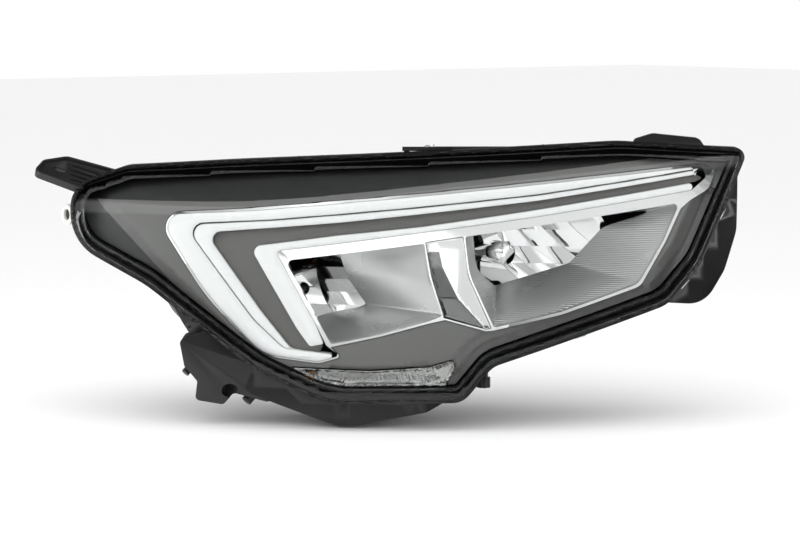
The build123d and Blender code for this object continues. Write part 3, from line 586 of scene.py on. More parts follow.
def build_materials(settings):
    """Every finish of the lamp, by a short name."""
    black = (0.007, 0.007, 0.0075)
    return {
        "housing": plastic("black moulded plastic", black, (0.012, 0.012, 0.0125),
                           (0.22, 0.34), 1800.0, 0.05),
        "bracket": plastic("bracket plastic", (0.011, 0.011, 0.0115), (0.018, 0.018, 0.0185),
                           (0.3, 0.42), 1800.0, 0.08),
        "seal": plastic("sealant", grey(0.01), grey(0.02), (0.6, 0.8)),
        "lens": clear_plastic("clear lens", (0.97, 0.98, 0.98)),
        "trim": plastic("grey trim", tuple(settings.trim_colour), (0.14, 0.139, 0.134),
                        (0.36, 0.46), 2500.0, 0.03),
        # Side panel: the grey trim made darker, painted shade for the panel turned away from the
        # light.
        "trim_painted_shade": plastic("side trim with painted shade", grey(0.036), (0.044, 0.044, 0.043),
                             (0.4, 0.5), 2500.0, 0.03),
        "trim_black": plastic("top trim", grey(0.008), grey(0.011),
                              (0.3, 0.4), 2500.0, 0.03),
        "infill": plastic("guide infill", (0.115, 0.113, 0.108), (0.13, 0.128, 0.122),
                          (0.42, 0.52), 2500.0, 0.03),
        "guide": plastic("light guide", (0.74, 0.74, 0.735), (0.80, 0.80, 0.795),
                         (0.22, 0.3), 900.0, 0.02, coat=0.5),
        "chrome": plastic("aluminised mirror", grey(0.90), grey(0.93),
                          (0.03, 0.06), 300.0, 0.02, metal=1.0),
        "satin": plastic("satin aluminised", grey(0.55), (0.78, 0.78, 0.77),
                         (0.24, 0.36), 700.0, 0.05, metal=0.8),
        "fluted_satin": fluted_metal("fluted aluminised", grey(0.62),
                                     (0.78, 0.78, 0.77), (0.26, 0.36), 1.5, 0.5),
        # Darker copy of the mirror: a painted dark reflection, used on the divider's hollow flank.
        "chrome_painted_dark_reflection": plastic("mirror with painted dark reflection", grey(0.20), grey(0.26),
                                 (0.05, 0.08), 300.0, 0.02, metal=1.0),
        "board": plastic("board", (0.7, 0.72, 0.7), (0.75, 0.76, 0.74)),
        "carrier": plastic("carrier plastic", grey(0.2), grey(0.25)),
        "nylon": plastic("natural nylon", (0.72, 0.72, 0.68), (0.82, 0.82, 0.78), (0.25, 0.35)),
        "steel": plastic("zinc plated steel", (0.6, 0.6, 0.61), (0.72, 0.72, 0.73),
                         (0.2, 0.35), 500.0, 0.1, metal=1.0),
        "glass": clear_plastic("quartz glass", grey(0.98), 0.0, 1.46),
        "amber": plastic("amber glass", (0.9, 0.3, 0.03), (0.95, 0.42, 0.06), (0.08, 0.12),
                         coat=1.0),
        "fluted": clear_plastic("fluted window", (0.80, 0.80, 0.79), 0.06),
        "rubber": plastic("cap rubber", grey(0.015), grey(0.03), (0.6, 0.75)),
        "white_part": plastic("acetal", (0.75, 0.75, 0.72), (0.82, 0.82, 0.8), (0.3, 0.4)),
    }


MATERIALS = {}


def paint(key):
    """Material by its short name; all are made on first use."""
    if not MATERIALS:
        MATERIALS.update(build_materials(bpy.context.scene.headlight_finish))
    return MATERIALS[key]


# ---- Pieces ----
def build_lens():
    """Clear cover: one closed shell with its skirt."""
    outer = rounded(LENS, 3.0)
    inner = inset(outer, LENS_WALL)
    top, top_faces, top_rims = triangulate([outer], 5.0, LENS_ROUND)
    low, low_faces, low_rims = triangulate([inner], 5.0, 0)
    points = []
    for u, v in top:
        fall = edge_fall(distance([outer], u, v), LENS_ROUND)
        points.append(lamp(u, v, lens_skin(u, v) - fall))
    under = len(points)
    for u, v in low:
        points.append(lamp(u, v, lens_skin(u, v) - LENS_WALL * steepness(u, v)))
    faces = list(top_faces) + [(c + under, b + under, a + under) for a, b, c in low_faces]
    skirt_out = len(points)
    points += [lamp(u, v, lens_skin(u, v) - SKIRT) for u, v in outer]
    skirt_in = len(points)
    points += [lamp(u, v, lens_skin(u, v) - SKIRT) for u, v in inner]
    count = len(outer)
    for i in range(count):
        j = (i + 1) % count
        a, b = top_rims[0][i], top_rims[0][j]
        c, d = low_rims[0][i] + under, low_rims[0][j] + under
        faces.append((b, a, skirt_out + i, skirt_out + j))
        faces.append((skirt_out + j, skirt_out + i, skirt_in + i, skirt_in + j))
        faces.append((skirt_in + j, skirt_in + i, c, d))
    piece = new_mesh("clear_cover", points, faces, [paint("lens")], 50)
    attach(piece, "housing")
    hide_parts("front_lens")


def beside(line, u, v):
    """Distance from a line, positive to the left of its direction."""
    (au, av), (bu, bv) = line
    length = math.hypot(bu - au, bv - av)
    return ((bu - au) * (v - av) - (bv - av) * (u - au)) / length


def ramp(x, low, high):
    """Rises evenly from 0 at low to 1 at high."""
    return max(0.0, min(1.0, (x - low) / (high - low)))


def trim_relief(u, v):
    """Folds of the trim: side panel, its step, and contour bands at the inner end."""
    height = 0.0
    if u < SIDE_END:
        height += SIDE_DROP * ramp(beside(SIDE_FOLD, u, v), 0, SIDE_SLOPE) - SIDE_DROP
    if u > BAND_START:
        slant = u - BAND_LEAN * v
        height += -4.0 * ramp(slant, *BANDS[:2]) + 5.0 * ramp(slant, *BANDS[2:])
    if u > SIDE_END and v < 60:
        edge = distance([TRIM_EDGE], u, v)
        height += 2.5 * ramp(edge, *EDGE_STEPS[2:]) - 2.5
        height -= 2.0 * (1 - ramp(edge, *EDGE_STEPS[:2]))
    return height


TRIM_EDGE = inset(rounded(LENS, 3.0), TRIM_GAP)


def trim_outline():
    """Edge of the trim, stepped in round the turn signal window."""
    window = inset(rounded(TURN_WINDOW, 3.0), -0.4)
    within = [inside(window, *p) for p in TRIM_EDGE]
    last = max(i for i, hit in enumerate(within) if hit and not within[(i + 1) % len(within)])
    turned = TRIM_EDGE[last + 1:] + TRIM_EDGE[:last + 1]
    kept = [p for p in turned if not inside(window, *p)]
    step_in = sorted([p for p in window if inside(TRIM_EDGE, *p) and p[1] > -86])
    lower = sorted([p for p in window if inside(TRIM_EDGE, *p) and p[1] <= -86],
                   key=lambda p: -p[1])
    return kept + step_in + [p for p in lower if p[0] > 0]


def trim_finish(u, v):
    """Which of the trim's materials a place has: 0 grey, 1 side panel darkened with painted shade,
    2 black top.
    """
    if v > ridge_height(u) + TOP_BAND_SET:
        return 2
    return 1 if u < SIDE_END and beside(SIDE_FOLD, u, v) < 0 else 0


def along(line, start, end, count):
    """Points along the line through two points, between two shares of its length."""
    (au, av), (bu, bv) = line
    shares = [start + (end - start) * k / count for k in range(count + 1)]
    return [(au + (bu - au) * t, av + (bv - av) * t) for t in shares]


def trim_lines():
    """Lines where the trim folds or changes its finish."""
    lines = [[(u, ridge_height(u) + TOP_BAND_SET) for u in range(-290, 300, 4)]]
    for shift in (0, SIDE_SLOPE):
        lines.append([(u + shift * 0.69, v + shift * 0.72)
                      for u, v in along(SIDE_FOLD, -0.4, 1.6, 70)])
    for depth in EDGE_STEPS:
        lines.append([p for p in inset(TRIM_EDGE, depth) if p[0] > SIDE_END and p[1] < 55])
    for slant in BANDS:
        lines.append([(slant + BAND_LEAN * v, v) for v in range(-60, 100, 4)])
    return lines


def build_trim():
    """Trim behind the lens, open where the guides and chambers show."""
    field = rounded(FRAME_OUTER + LIGHT_FIELD, 3.0)
    piece = plate("trim", [trim_outline(), inset(field, -0.3)],
                  [paint("trim"), paint("trim_painted_shade"), paint("trim_black")],
                  TRIM_SET, TRIM_WALL, 5.0, 0.6, trim_relief, trim_finish, trim_lines())
    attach(piece, "housing")
    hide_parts("bezel")


def build_guides():
    """Crowned light guides: two strips of the outer hook, and the slim bar inside it."""
    strips = {
        "guide_outer_strip": (BAR_OUTER + BAR_CREASE, 0.0),
        "guide_inner_strip": (inset_edge(BAR_CREASE) + BAR_INNER[::-1], 1.0),
        "guide_slim_bar": (GUIDE_OUTER + GUIDE_INNER, 0.0),
    }
    homes = {"guide_outer_strip": "drl_outer_guide", "guide_slim_bar": "drl_inner_guide"}
    for name, (corners, lower) in strips.items():
        loop = inset(rounded(corners, 3.0), 0.25)

        def crown(u, v, loop=loop):
            return -GUIDE_CROWN * (1 - ramp(distance([loop], u, v), 0.0, GUIDE_FALL)) ** 2
        piece = plate(name, [loop], [paint("guide")], GUIDE_SET + lower, GUIDE_DEPTH - lower,
                      3.0, 0.8, crown)
        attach(piece, "housing")
        if name in homes:
            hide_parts(homes[name])


def inset_edge(edge):
    """Edge moved a little towards the inside of the hook."""
    return [(u + 0.6, v - 0.6, r) for u, v, r in edge]


def build_infill():
    """Dark sheet between the light guides."""
    zone = rounded(BAR_INNER[1:] + [(264, 70, 1.2)] + GUIDE_OUTER, 3.0)
    piece = plate("guide_infill", [zone], [paint("infill")], TRIM_SET + 4.0,
                  TRIM_WALL, 5.0, 0.3)
    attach(piece, "housing")
    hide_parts("drl_infill")


def facet_tiles(axis, vertex, focus, cell, slant, limits, keep, bulge):
    """Closed curved tiles in slanting columns that follow a paraboloid about the Y axis."""
    points = []
    faces = []
    random.seed(7)
    count = 5
    x_low, x_high, z_low, z_high = limits
    columns = int((x_high - x_low) / cell[0])
    rows = int((z_high - z_low) / cell[1])
    for column in range(columns):
        for row in range(rows):
            x0 = x_low + column * cell[0]
            z0 = z_low + row * cell[1]
            offset = random.uniform(0.0, 0.5)
            tip = random.uniform(-0.025, 0.025)
            corners = [(x0 + s * cell[0] - slant * (z0 + t * cell[1]), z0 + t * cell[1])
                       for s, t in ((0, 0), (1, 0), (1, 1), (0, 1))]
            if not all(keep(x, z) for x, z in corners):
                continue
            start = len(points)
            for layer in (0, 1):
                for i in range(count + 1):
                    for k in range(count + 1):
                        s, t = i / count, k / count
                        z = z0 + t * cell[1]
                        x = x0 + s * cell[0] - slant * z
                        r2 = (x - axis[0]) ** 2 + (z - axis[1]) ** 2
                        y = vertex - r2 / (4 * focus)
                        rise = offset + bulge * (1 - (2 * s - 1) ** 2) + tip * (z - z0)
                        rise += 0.3 * bulge * (1 - (2 * t - 1) ** 2) + TILE_LIFT
                        y += TILE_BACK if layer else -rise
                        points.append(car(x, y, z))
            grid = count + 1
            under = grid * grid
            for i in range(count):
                for k in range(count):
                    a = start + i * grid + k
                    faces.append((a, a + grid, a + grid + 1, a + 1))
                    faces.append((a + under + 1, a + under + grid + 1, a + under + grid,
                                  a + under))
            ring = [start + i * grid for i in range(grid)]
            ring += [start + count * grid + k for k in range(1, grid)]
            ring += [start + i * grid + count for i in range(count - 1, -1, -1)]
            ring += [start + k for k in range(count - 1, 0, -1)]
            for a, b in zip(ring, ring[1:] + ring[:1]):
                faces.append((b, a, a + under, b + under))
    return points, faces


def to_lamp(x, y, z):
    """A point across, along and up the car, in lamp axes."""
    return (x * math.cos(SWEEP) - y * math.sin(SWEEP), z,
            -x * math.sin(SWEEP) - y * math.cos(SWEEP))


REFLECTORS = [
    {"name": "low_beam", "node": "low_beam_reflector", "axis": (118.0, 7.0), "vertex": 55.0,
     "focus": 25.0, "rim": LOW_RIM, "cell": (17.0, 15.0), "slant": 0.75,
     "limits": (40.0, 270.0, -52.0, 60.0), "bulge": 1.1},
    {"name": "high_beam", "node": "high_beam_reflector", "axis": (-20.0, -24.0),
     "vertex": 150.0, "focus": 20.0, "rim": HIGH_RIM, "cell": (24.0, 11.0), "slant": 0.2,
     "limits": (-110.0, 70.0, -64.0, 18.0), "bulge": 0.9},
]


def build_reflector(name, node, axis, vertex, focus, rim, cell, slant, limits, bulge):
    """Smooth dish with a field of stepped facets over it."""
    loop = rounded(rim, 4.0)

    def keep(x, z):
        y = vertex - ((x - axis[0]) ** 2 + (z - axis[1]) ** 2) / (4 * focus)
        u, v, w = to_lamp(x, y, z)
        clear = math.hypot(x - axis[0], z - axis[1]) > HOLDER_HOLE
        return clear and inside(loop, u, v) and w < RIM_PLANE[0] - RIM_PLANE[1] * u

    points, faces = facet_tiles(axis, vertex, focus, cell, slant, limits, keep, bulge)
    tiles = new_mesh(name + "_facets", points, faces, [paint("chrome")], 25)
    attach(tiles, "reflector_unit")
    cad_copy(node, [paint("chrome")])


def ruled_wall(front, rear, plane, fine):
    """Wall between a mouth and a rear edge, as a closed thin shell.

    The mouth lies in a plane, given by its depth at the origin and its slopes along u and v.
    """
    near = corner_walk(front, fine)
    far = corner_walk(rear, fine)
    points = []
    count = len(near)
    for layer in (0.0, LINER_WALL):
        outer_near = inset(near, -layer)
        outer_far = inset(far, -layer)
        for k in range(LINER_STEPS + 1):
            t = k / LINER_STEPS
            for (au, av), (bu, bv) in zip(outer_near, outer_far):
                top = min(plane[0] + plane[1] * au + plane[2] * av,
                          lens_skin(au, av) - TRIM_SET - 10.5)
                bottom = WALL_REAR[0] - WALL_REAR[1] * bu
                u, v, w = au + (bu - au) * t, av + (bv - av) * t, top + (bottom - top) * t
                points.append(lamp(u, v, w))
    under = (LINER_STEPS + 1) * count
    faces = []
    for k in range(LINER_STEPS):
        for i in range(count):
            j = (i + 1) % count
            a, b = k * count + i, k * count + j
            faces.append((a, b, b + count, a + count))
            faces.append((a + count + under, b + count + under, b + under, a + under))
    for i in range(count):
        j = (i + 1) % count
        last = LINER_STEPS * count
        faces.append((j, i, i + under, j + under))
        faces.append((last + i, last + j, last + j + under, last + i + under))
    return points, faces


def corner_walk(corners, fine):
    """Points round an outline, the same number for each corner and side."""
    if signed_area(corners) < 0:
        corners = corners[::-1]
    per_side = FINE_SIDE if fine else PLAIN_SIDE
    points = []
    for i, (u, v, r) in enumerate(corners):
        here = Vector((u, v))
        back = Vector(corners[i - 1][:2]) - here
        on = Vector(corners[(i + 1) % len(corners)][:2]) - here
        half = back.angle(on) / 2
        reach = min(r / math.tan(half), 0.45 * back.length, 0.45 * on.length)
        first = here + back.normalized() * reach
        last = here + on.normalized() * reach
        for k in range(7):
            t = k / 6
            points.append(tuple(first * (1 - t) ** 2 + here * 2 * t * (1 - t) + last * t * t))
        following = corners[(i + 1) % len(corners)]
        there = Vector(following[:2])
        beyond = Vector(corners[(i + 2) % len(corners)][:2]) - there
        half = (here - there).angle(beyond) / 2
        reach = min(following[2] / math.tan(half), 0.45 * on.length, 0.45 * beyond.length)
        end = there - on.normalized() * reach
        for k in range(1, per_side):
            points.append(tuple(last.lerp(end, k / per_side)))
    return points


def build_liners():
    """Walls of both chambers."""
    for name, node, front, rear, plane, fluted in (
            ("low_beam_wall", "low_beam_liner", LOW_OPENING, LOW_REAR, (-15.2, -0.19, -0.30),
             True),
            ("high_beam_wall", "high_beam_liner", HIGH_OPENING, HIGH_REAR,
             (-26.3, 0.09, -0.30), False)):
        points, faces = ruled_wall(front, rear, plane, fluted)
        finish = "fluted_satin" if fluted else "satin"
        piece = new_mesh(name, points, faces, [paint(finish)], 30)
        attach(piece, "housing")
        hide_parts(node)


def build_divider():
    """Blade between the chambers: a hollow flank with a painted dark reflection, and a bright one.
    """
    crease = [(31, 22), (36, 0), (49, -26), (70, -49)]

    def ridge_u(v):
        for (au, av), (bu, bv) in zip(crease, crease[1:]):
            if v >= bv:
                return au + (bu - au) * (v - av) / (bv - av)
        return crease[-1][0]

    def hollow(u, v):
        return -0.28 * max(0.0, ridge_u(v) - u) - 0.10 * max(0.0, u - ridge_u(v))
    line = [(ridge_u(v), v) for v in range(22, -50, -2)]
    # The flank left of the crease takes the darker mirror, a painted dark reflection.
    piece = plate("divider_blade", [rounded(DIVIDER, 2.0)],
                  [paint("chrome"), paint("chrome_painted_dark_reflection")], TRIM_SET - 1, 10.0, 2.5, 0.8, hollow,
                  lambda u, v: 1 if u < ridge_u(v) and v < 12 else 0, [line])
    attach(piece, "housing")
    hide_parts("centre_divider")


def build_turn_window():
    """Fluted window of the turn signal."""
    outer = [p for p in rounded(TURN_WINDOW, 2.0)]
    trim = inset(rounded(LENS, 3.0), 8.6)
    loop = clip_above(outer, trim)

    def flute(u, v):
        cross = abs(math.sin(math.pi * (0.3 * u - v) / 3.0)) if u > 0 else 0.0
        return 0.45 * abs(math.sin(math.pi * (u + 0.3 * v) / 3.4)) + 0.35 * cross
    piece = plate("turn_window", [loop], [paint("fluted")], TRIM_SET - 4, 2.5, 0.9, 0.0, flute)
    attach(piece, "housing")
    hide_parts("turn_signal_optic")


def clip_above(loop, limit):
    """Loop with its points kept inside a larger loop."""
    kept = []
    for u, v in loop:
        while not inside(limit, u, v) and v < 0:
            v += 0.5
        kept.append((u, v))
    clean = [kept[0]]
    for p in kept[1:]:
        if math.hypot(p[0] - clean[-1][0], p[1] - clean[-1][1]) > 0.8:
            clean.append(p)
    return clean


CAD_FINISHES = [
    ("housing", "housing", 0.0), ("lens_seal", "seal", 0.0), ("drl_frame", "chrome", 0.0),
    ("drl_led_board", "board", 0.0), ("reflector_carrier", "carrier", 0.3),
    ("aim_socket", "carrier", 0.3), ("pivot_bush", "nylon", 0.0), ("pivot_stud", "steel", 0.0),
    ("low_bulb_holder", "bracket", 0.3), ("high_bulb_holder", "bracket", 0.3),
    ("low_beam_bulb", "glass", 0.0), ("high_beam_bulb", "glass", 0.0),
    ("bulb_shield", "chrome", 0.0), ("turn_signal_reflector", "chrome", 0.0),
    ("turn_signal_bulb", "amber", 0.0), ("turn_signal_holder", "bracket", 0.3),
    ("low_beam_cap", "housing", 0.5), ("high_beam_cap", "housing", 0.5),
    ("low_cap_seal", "rubber", 0.3), ("high_cap_seal", "rubber", 0.3),
    ("level_motor", "bracket", 0.6), ("level_motor_shaft", "white_part", 0.2),
    ("aim_screw", "white_part", 0.3), ("upper_outer_bracket", "bracket", 0.4),
    ("lower_outer_bracket", "bracket", 0.5), ("bracket_bush", "steel", 0.3),
    ("upper_inner_bracket", "bracket", 0.5), ("top_rail", "bracket", 0.4),
    ("driver_module", "bracket", 0.5), ("lens_clips", "steel", 0.2),
    ("side_peg", "bracket", 0.5), ("peg_sleeve", "nylon", 0.3),
    ("connector_shell", "bracket", 0.4), ("connector_pins", "steel", 0.0),
    ("vent_caps", "rubber", 0.4), ("level_knob", "bracket", 0.3),
]

# Screw seats: the piece, a point above its face in share of its box, and the way the ray goes.
SCREW_SEATS = [
    ("top_rail", (0.06, 0.5), "down"), ("top_rail", (0.5, 0.5), "down"),
    ("top_rail", (0.94, 0.5), "down"),
    ("level_motor", (0.15, 0.15), "forward"), ("level_motor", (0.85, 0.15), "forward"),
    ("level_motor", (0.15, 0.85), "forward"), ("level_motor", (0.85, 0.85), "forward"),
    ("driver_module", (0.1, 0.12), "forward"), ("driver_module", (0.9, 0.12), "forward"),
    ("driver_module", (0.1, 0.88), "forward"), ("driver_module", (0.9, 0.88), "forward"),
]


def find_seats():
    """Places and facings of the screws, found on the faces of the pieces they hold."""
    seats = []
    for node, (across, along_share), way in SCREW_SEATS:
        low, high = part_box(node)
        if way == "down":
            start = Vector((low.x + (high.x - low.x) * across, 0, high.z + 0.05))
            start.y = low.y + (high.y - low.y) * along_share
            heading = Vector((0, 0, -1))
        else:
            start = Vector((low.x + (high.x - low.x) * across, high.y + 0.05, 0))
            start.z = low.z + (high.z - low.z) * along_share
            heading = Vector((0, -1, 0))
        mesh = frame["nodes"][node].data
        faces = BVHTree.FromPolygons([v.co for v in mesh.vertices],
                                     [p.vertices for p in mesh.polygons])
        place, normal, _, _ = faces.ray_cast(start, heading)
        if place:
            seats.append((place, normal))
    return seats


def screw_tree():
    """Hex washer head at every point, facing along the point's own direction."""
    tree, start = make_group(
        "washer head screws",
        [("Geometry", "NodeSocketGeometry", None), ("Head Radius", "NodeSocketFloat", 0.003),
         ("Head Height", "NodeSocketFloat", 0.0016), ("Material", "NodeSocketMaterial", None)],
        [("Geometry", "NodeSocketGeometry")], "GeometryNodeTree")
    join = add(tree, "GeometryNodeJoinGeometry")
    for sides, share, lift in ((24, 1.0, 0.35), (6, 0.62, 1.0)):
        head = add(tree, "GeometryNodeMeshCylinder",
                   {"Vertices": sides,
                    "Radius": combine(tree, "MULTIPLY", start["Head Radius"], share),
                    "Depth": combine(tree, "MULTIPLY", start["Head Height"], 2 * lift)})
        fill_in(tree, join, {"Geometry": head.outputs["Mesh"]})
    facing = add(tree, "GeometryNodeInputNamedAttribute", {"Name": "facing"},
                 data_type="FLOAT_VECTOR")
    turn = add(tree, "FunctionNodeAlignRotationToVector",
               {"Vector": facing.outputs["Attribute"]}, axis="Z")
    place = add(tree, "GeometryNodeInstanceOnPoints",
                {"Points": start["Geometry"], "Instance": join.outputs["Geometry"],
                 "Rotation": turn.outputs["Rotation"]})
    real = add(tree, "GeometryNodeRealizeInstances", {"Geometry": place.outputs["Instances"]})
    finish = add(tree, "GeometryNodeSetMaterial",
                 {"Geometry": real.outputs["Geometry"], "Material": start["Material"]})
    add(tree, "NodeGroupOutput", {"Geometry": finish.outputs["Geometry"]})
    return tree


def build_screws(settings):
    """Screw heads seated on their faces."""
    seats = find_seats()
    if not seats:
        raise RuntimeError("no screw found a face to sit on")
    mesh = bpy.data.meshes.new("screw_heads")
    mesh.from_pydata([tuple(place) for place, _ in seats], [], [])
    facing = mesh.attributes.new("facing", "FLOAT_VECTOR", "POINT")
    facing.data.foreach_set("vector", [c for _, normal in seats for c in normal])
    piece = bpy.data.objects.new("screw_heads", mesh)
    bpy.context.scene.collection.objects.link(piece)
    tree = screw_tree()
    maker = piece.modifiers.new("washer heads", "NODES")
    maker.node_group = tree
    values = {"Head Radius": settings.screw_radius, "Head Height": settings.screw_height,
              "Material": paint("steel")}
    for item in tree.interface.items_tree:
        if item.name in values and item.in_out == "INPUT":
            maker[item.identifier] = values[item.name]
    apply_modifiers(piece)
    shade(piece.data, 30)
    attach(piece, "housing")


def build_fittings():
    """Finished copies of the body, brackets, bulbs, caps and drives."""
    for node, key, bevel in CAD_FINISHES:
        cad_copy(node, [paint(key)], bevel=bevel)


# ---- Stage ----
def sky_ramp(tree, angle, stops):
    """Brightness of the surroundings by angle, from the front horizon up and over the back."""
    scaled = add(tree, "ShaderNodeMapRange",
                 {"Value": angle, "From Min": -math.pi, "From Max": math.pi})
    ramp_node = add(tree, "ShaderNodeValToRGB", {"Fac": scaled.outputs["Result"]})
    ramp_node.color_ramp.interpolation = "EASE"
    points = ramp_node.color_ramp.elements
    for index, (degrees, bright) in enumerate(stops):
        place = (degrees + 180) / 360
        point = points[index] if index < 2 else points.new(place)
        point.position = place
        point.color = (*grey(bright), 1)
    return ramp_node.outputs["Color"]


# Angle in degrees and brightness; the first two stops are the ramp's own ends.
CHROME_SKY = [(-30, 0.5), (180, 0.5), (2, 0.10), (12, 0.12), (22, 1.0), (46, 1.1),
              (56, 0.06), (72, 0.10), (84, 1.2), (108, 1.0), (130, 0.4)]
GLOSS_SKY = [(-30, 0.25), (180, 0.2), (-5, 0.02), (58, 0.02), (70, 1.5), (96, 1.6),
             (106, 0.02), (150, 0.02)]


def build_sky(settings):
    """White backdrop, bright banded surroundings, and a darker set that gloss reflects."""
    world = bpy.data.worlds.new("studio")
    world.use_nodes = True
    tree = world.node_tree
    heading = add(tree, "ShaderNodeTexCoord").outputs["Generated"]
    forward, upward = [
        add(tree, "ShaderNodeVectorMath", {0: heading, 1: way},
            operation="DOT_PRODUCT").outputs["Value"] for way in (OUTWARD, UP)]
    angle = combine(tree, "ARCTAN2", upward, forward)
    path = add(tree, "ShaderNodeLightPath").outputs
    mirrored = combine(tree, "MULTIPLY", path["Is Glossy Ray"], path["Is Reflection Ray"])
    white = (1, 1, 1, 1)
    shader = None
    for colour, strength, ray in (
            (white, settings.fill, None),
            (sky_ramp(tree, angle, CHROME_SKY), settings.chrome_sky,
             path["Is Transmission Ray"]),
            (sky_ramp(tree, angle, GLOSS_SKY), settings.gloss, mirrored),
            (white, settings.backdrop, path["Is Camera Ray"])):
        background = add(tree, "ShaderNodeBackground",
                         {"Color": colour, "Strength": strength}).outputs["Background"]
        if shader is None:
            shader = background
        else:
            shader = mix_shaders(tree, ray, shader, background)
    fill_in(tree, tree.nodes["World Output"], {"Surface": shader})
    bpy.context.scene.world = world


def build_stage(settings):
    """Floor, surroundings and softboxes."""
    low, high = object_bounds()
    floor = bpy.data.meshes.new("floor")
    floor.from_pydata([(x, y, low.z - 0.002) for x, y in ((-8, -8), (8, -8), (8, 8), (-8, 8))],
                      [], [(0, 1, 2, 3)])
    floor.materials.append(stage_material())
    ground = bpy.data.objects.new("floor", floor)
    bpy.context.scene.collection.objects.link(ground)
    ground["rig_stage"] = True
    build_sky(settings)
    bpy.context.scene.view_settings.view_transform = "Standard"
    middle = lamp(0, 0, -40)
    panels = [
        ("top softbox", lamp(0, 1000, 300), (1.8, 1.0), 3.0, False),
        ("front softbox", lamp(-150, 500, 1500), (1.4, 1.0), 3.0, False),
        ("left softbox", lamp(-1400, 300, 700), (0.7, 1.4), 2.5, False),
        ("left strip", lamp(-1000, 60, 120), (0.10, 0.9), 2.0, True),
        ("right strip", lamp(1100, 100, 60), (0.10, 0.9), 2.0, True),
    ]
    for name, place, size, power, mirrored in panels:
        light = bpy.data.lights.new(name, "AREA")
        light.shape = "RECTANGLE"
        light.size, light.size_y = size
        light.energy = power
        holder = bpy.data.objects.new(name, light)
        holder.location = place
        holder.rotation_euler = (middle - place).to_track_quat("-Z", "Y").to_euler()
        holder.visible_glossy = mirrored
        bpy.context.scene.collection.objects.link(holder)


def stage_material():
    """Pale floor with a slight drift in roughness."""
    material, tree, shader = blank_material("pale floor")
    noise = add(tree, "ShaderNodeTexNoise",
                {"Scale": 3.0, "Vector": add(tree, "ShaderNodeTexCoord").outputs["Object"]})
    spread = add(tree, "ShaderNodeMapRange",
                 {"Value": noise.outputs["Fac"], "To Min": 0.85, "To Max": 0.95})
    fill_in(tree, shader, {"Roughness": spread.outputs["Result"],
                           "Base Color": (*grey(0.93), 1)})
    return material


def build_camera(settings):
    """Camera on a circle round the lamp."""
    aim = lamp(0, 0, -30)
    azimuth = math.radians(settings.azimuth)
    height = math.radians(settings.elevation)
    back = Vector((math.sin(azimuth) * math.cos(height), -math.cos(azimuth) * math.cos(height),
                   math.sin(height)))
    camera = bpy.data.cameras.new("camera")
    camera.sensor_width = 36.0
    camera.lens = settings.focal_length
    camera.clip_end = 50.0
    holder = bpy.data.objects.new("camera", camera)
    holder.location = aim + back * settings.distance
    holder.rotation_euler = (-back).to_track_quat("-Z", "Y").to_euler()
    bpy.context.scene.collection.objects.link(holder)
    bpy.context.scene.camera = holder


# ---- Add-on ----
class HeadlightFinish(bpy.types.PropertyGroup):
    trim_colour: FloatVectorProperty(
        name="Trim colour", description="Colour of the grey trim behind the lens",
        subtype="COLOR", default=(0.128, 0.127, 0.122), min=0, max=1)
    screw_radius: FloatProperty(name="Screw head radius", description="Washer of each screw",
                                default=0.003, unit="LENGTH")
    screw_height: FloatProperty(name="Screw head height", description="Hexagon of each screw",
                                default=0.0016, unit="LENGTH")


class HeadlightStage(bpy.types.PropertyGroup):
    azimuth: FloatProperty(name="Azimuth", description="Camera angle round the lamp, degrees",
                           default=-38.0)
    elevation: FloatProperty(name="Elevation", description="Camera angle above level, degrees",
                             default=6.0)
    distance: FloatProperty(name="Distance", description="Camera to the lamp", default=2.2,
                            unit="LENGTH")
    focal_length: FloatProperty(name="Focal length", description="On a 36 mm sensor",
                                default=116.8)
    backdrop: FloatProperty(name="Backdrop", description="Brightness seen by the camera",
                            default=1.0)
    fill: FloatProperty(name="Fill", description="Brightness of the surrounding light",
                        default=1.03)
    chrome_sky: FloatProperty(name="Chrome sky", description="Brightness that the chrome reflects",
                              default=0.9)
    gloss: FloatProperty(name="Gloss", description="Brightness of what outer gloss reflects",
                         default=0.8)


class HEADLIGHT_OT_stage(bpy.types.Operator):
    """Set the floor, lights and camera"""
    bl_idname = "headlight.stage"
    bl_label = "Stage"

    def execute(self, context):
        settings = context.scene.headlight_stage
        build_stage(settings)
        build_camera(settings)
        return {"FINISHED"}


class HEADLIGHT_OT_lens(bpy.types.Operator):
    """Build the clear cover"""
    bl_idname = "headlight.lens"
    bl_label = "Clear Cover"

    def execute(self, context):
        build_lens()
        return {"FINISHED"}


class HEADLIGHT_OT_trim(bpy.types.Operator):
    """Build the trim behind the lens"""
    bl_idname = "headlight.trim"
    bl_label = "Trim"

    def execute(self, context):
        build_trim()
        return {"FINISHED"}


class HEADLIGHT_OT_guides(bpy.types.Operator):
    """Build the daytime light guides and their infill"""
    bl_idname = "headlight.guides"
    bl_label = "Light Guides"

    def execute(self, context):
        build_guides()
        build_infill()
        return {"FINISHED"}


class HEADLIGHT_OT_reflectors(bpy.types.Operator):
    """Build both faceted reflectors"""
    bl_idname = "headlight.reflectors"
    bl_label = "Reflectors"

    def execute(self, context):
        for sizes in REFLECTORS:
            build_reflector(**sizes)
        return {"FINISHED"}


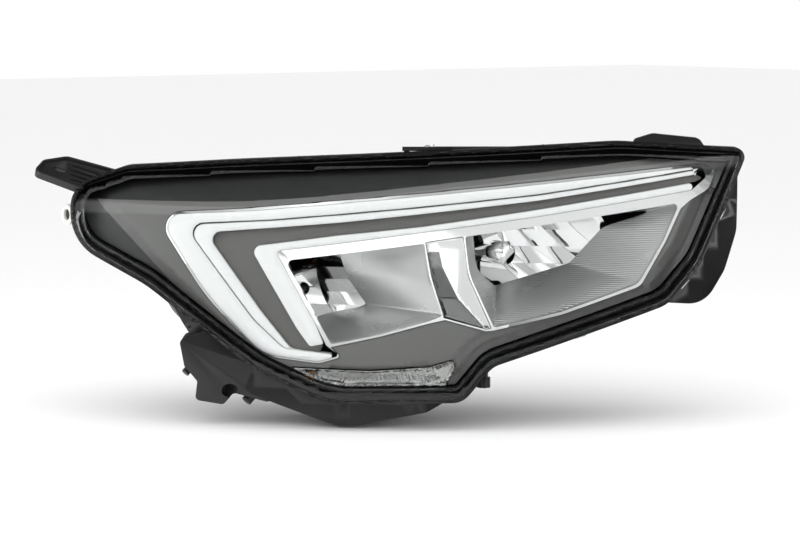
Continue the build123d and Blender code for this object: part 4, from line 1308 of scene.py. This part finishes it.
class HEADLIGHT_OT_chambers(bpy.types.Operator):
    """Build the chamber walls, the divider and the turn signal window"""
    bl_idname = "headlight.chambers"
    bl_label = "Chambers"

    def execute(self, context):
        build_liners()
        build_divider()
        build_turn_window()
        return {"FINISHED"}


class HEADLIGHT_OT_fittings(bpy.types.Operator):
    """Finish the body, brackets, bulbs, caps and drives"""
    bl_idname = "headlight.fittings"
    bl_label = "Body and Fittings"

    def execute(self, context):
        build_fittings()
        return {"FINISHED"}


class HEADLIGHT_OT_screws(bpy.types.Operator):
    """Seat the screws on the rail, the motor and the module"""
    bl_idname = "headlight.screws"
    bl_label = "Screws"

    def execute(self, context):
        build_screws(context.scene.headlight_finish)
        return {"FINISHED"}


STEPS = ("stage", "lens", "trim", "guides", "reflectors", "chambers", "fittings", "screws")


class HEADLIGHT_PT_panel(bpy.types.Panel):
    """Sizes, finish and build steps"""
    bl_idname = "HEADLIGHT_PT_panel"
    bl_label = "Headlight"
    bl_space_type = "VIEW_3D"
    bl_region_type = "UI"
    bl_category = "Headlight"

    def draw(self, context):
        for key in ("trim_colour", "screw_radius", "screw_height"):
            self.layout.prop(context.scene.headlight_finish, key)
        for key in ("azimuth", "elevation", "distance", "focal_length", "backdrop", "fill",
                    "chrome_sky", "gloss"):
            self.layout.prop(context.scene.headlight_stage, key)
        for step in STEPS:
            self.layout.operator("headlight." + step)


CLASSES = (HeadlightFinish, HeadlightStage, HEADLIGHT_OT_stage, HEADLIGHT_OT_lens,
           HEADLIGHT_OT_trim, HEADLIGHT_OT_guides, HEADLIGHT_OT_reflectors,
           HEADLIGHT_OT_chambers, HEADLIGHT_OT_fittings, HEADLIGHT_OT_screws,
           HEADLIGHT_PT_panel)


def register():
    for item in CLASSES:
        bpy.utils.register_class(item)
    bpy.types.Scene.headlight_finish = bpy.props.PointerProperty(type=HeadlightFinish)
    bpy.types.Scene.headlight_stage = bpy.props.PointerProperty(type=HeadlightStage)


def unregister():
    del bpy.types.Scene.headlight_finish
    del bpy.types.Scene.headlight_stage
    for item in reversed(CLASSES):
        bpy.utils.unregister_class(item)


def main():
    register()
    for step in STEPS:
        getattr(bpy.ops.headlight, step)()


if __name__ == "__main__":
    main()
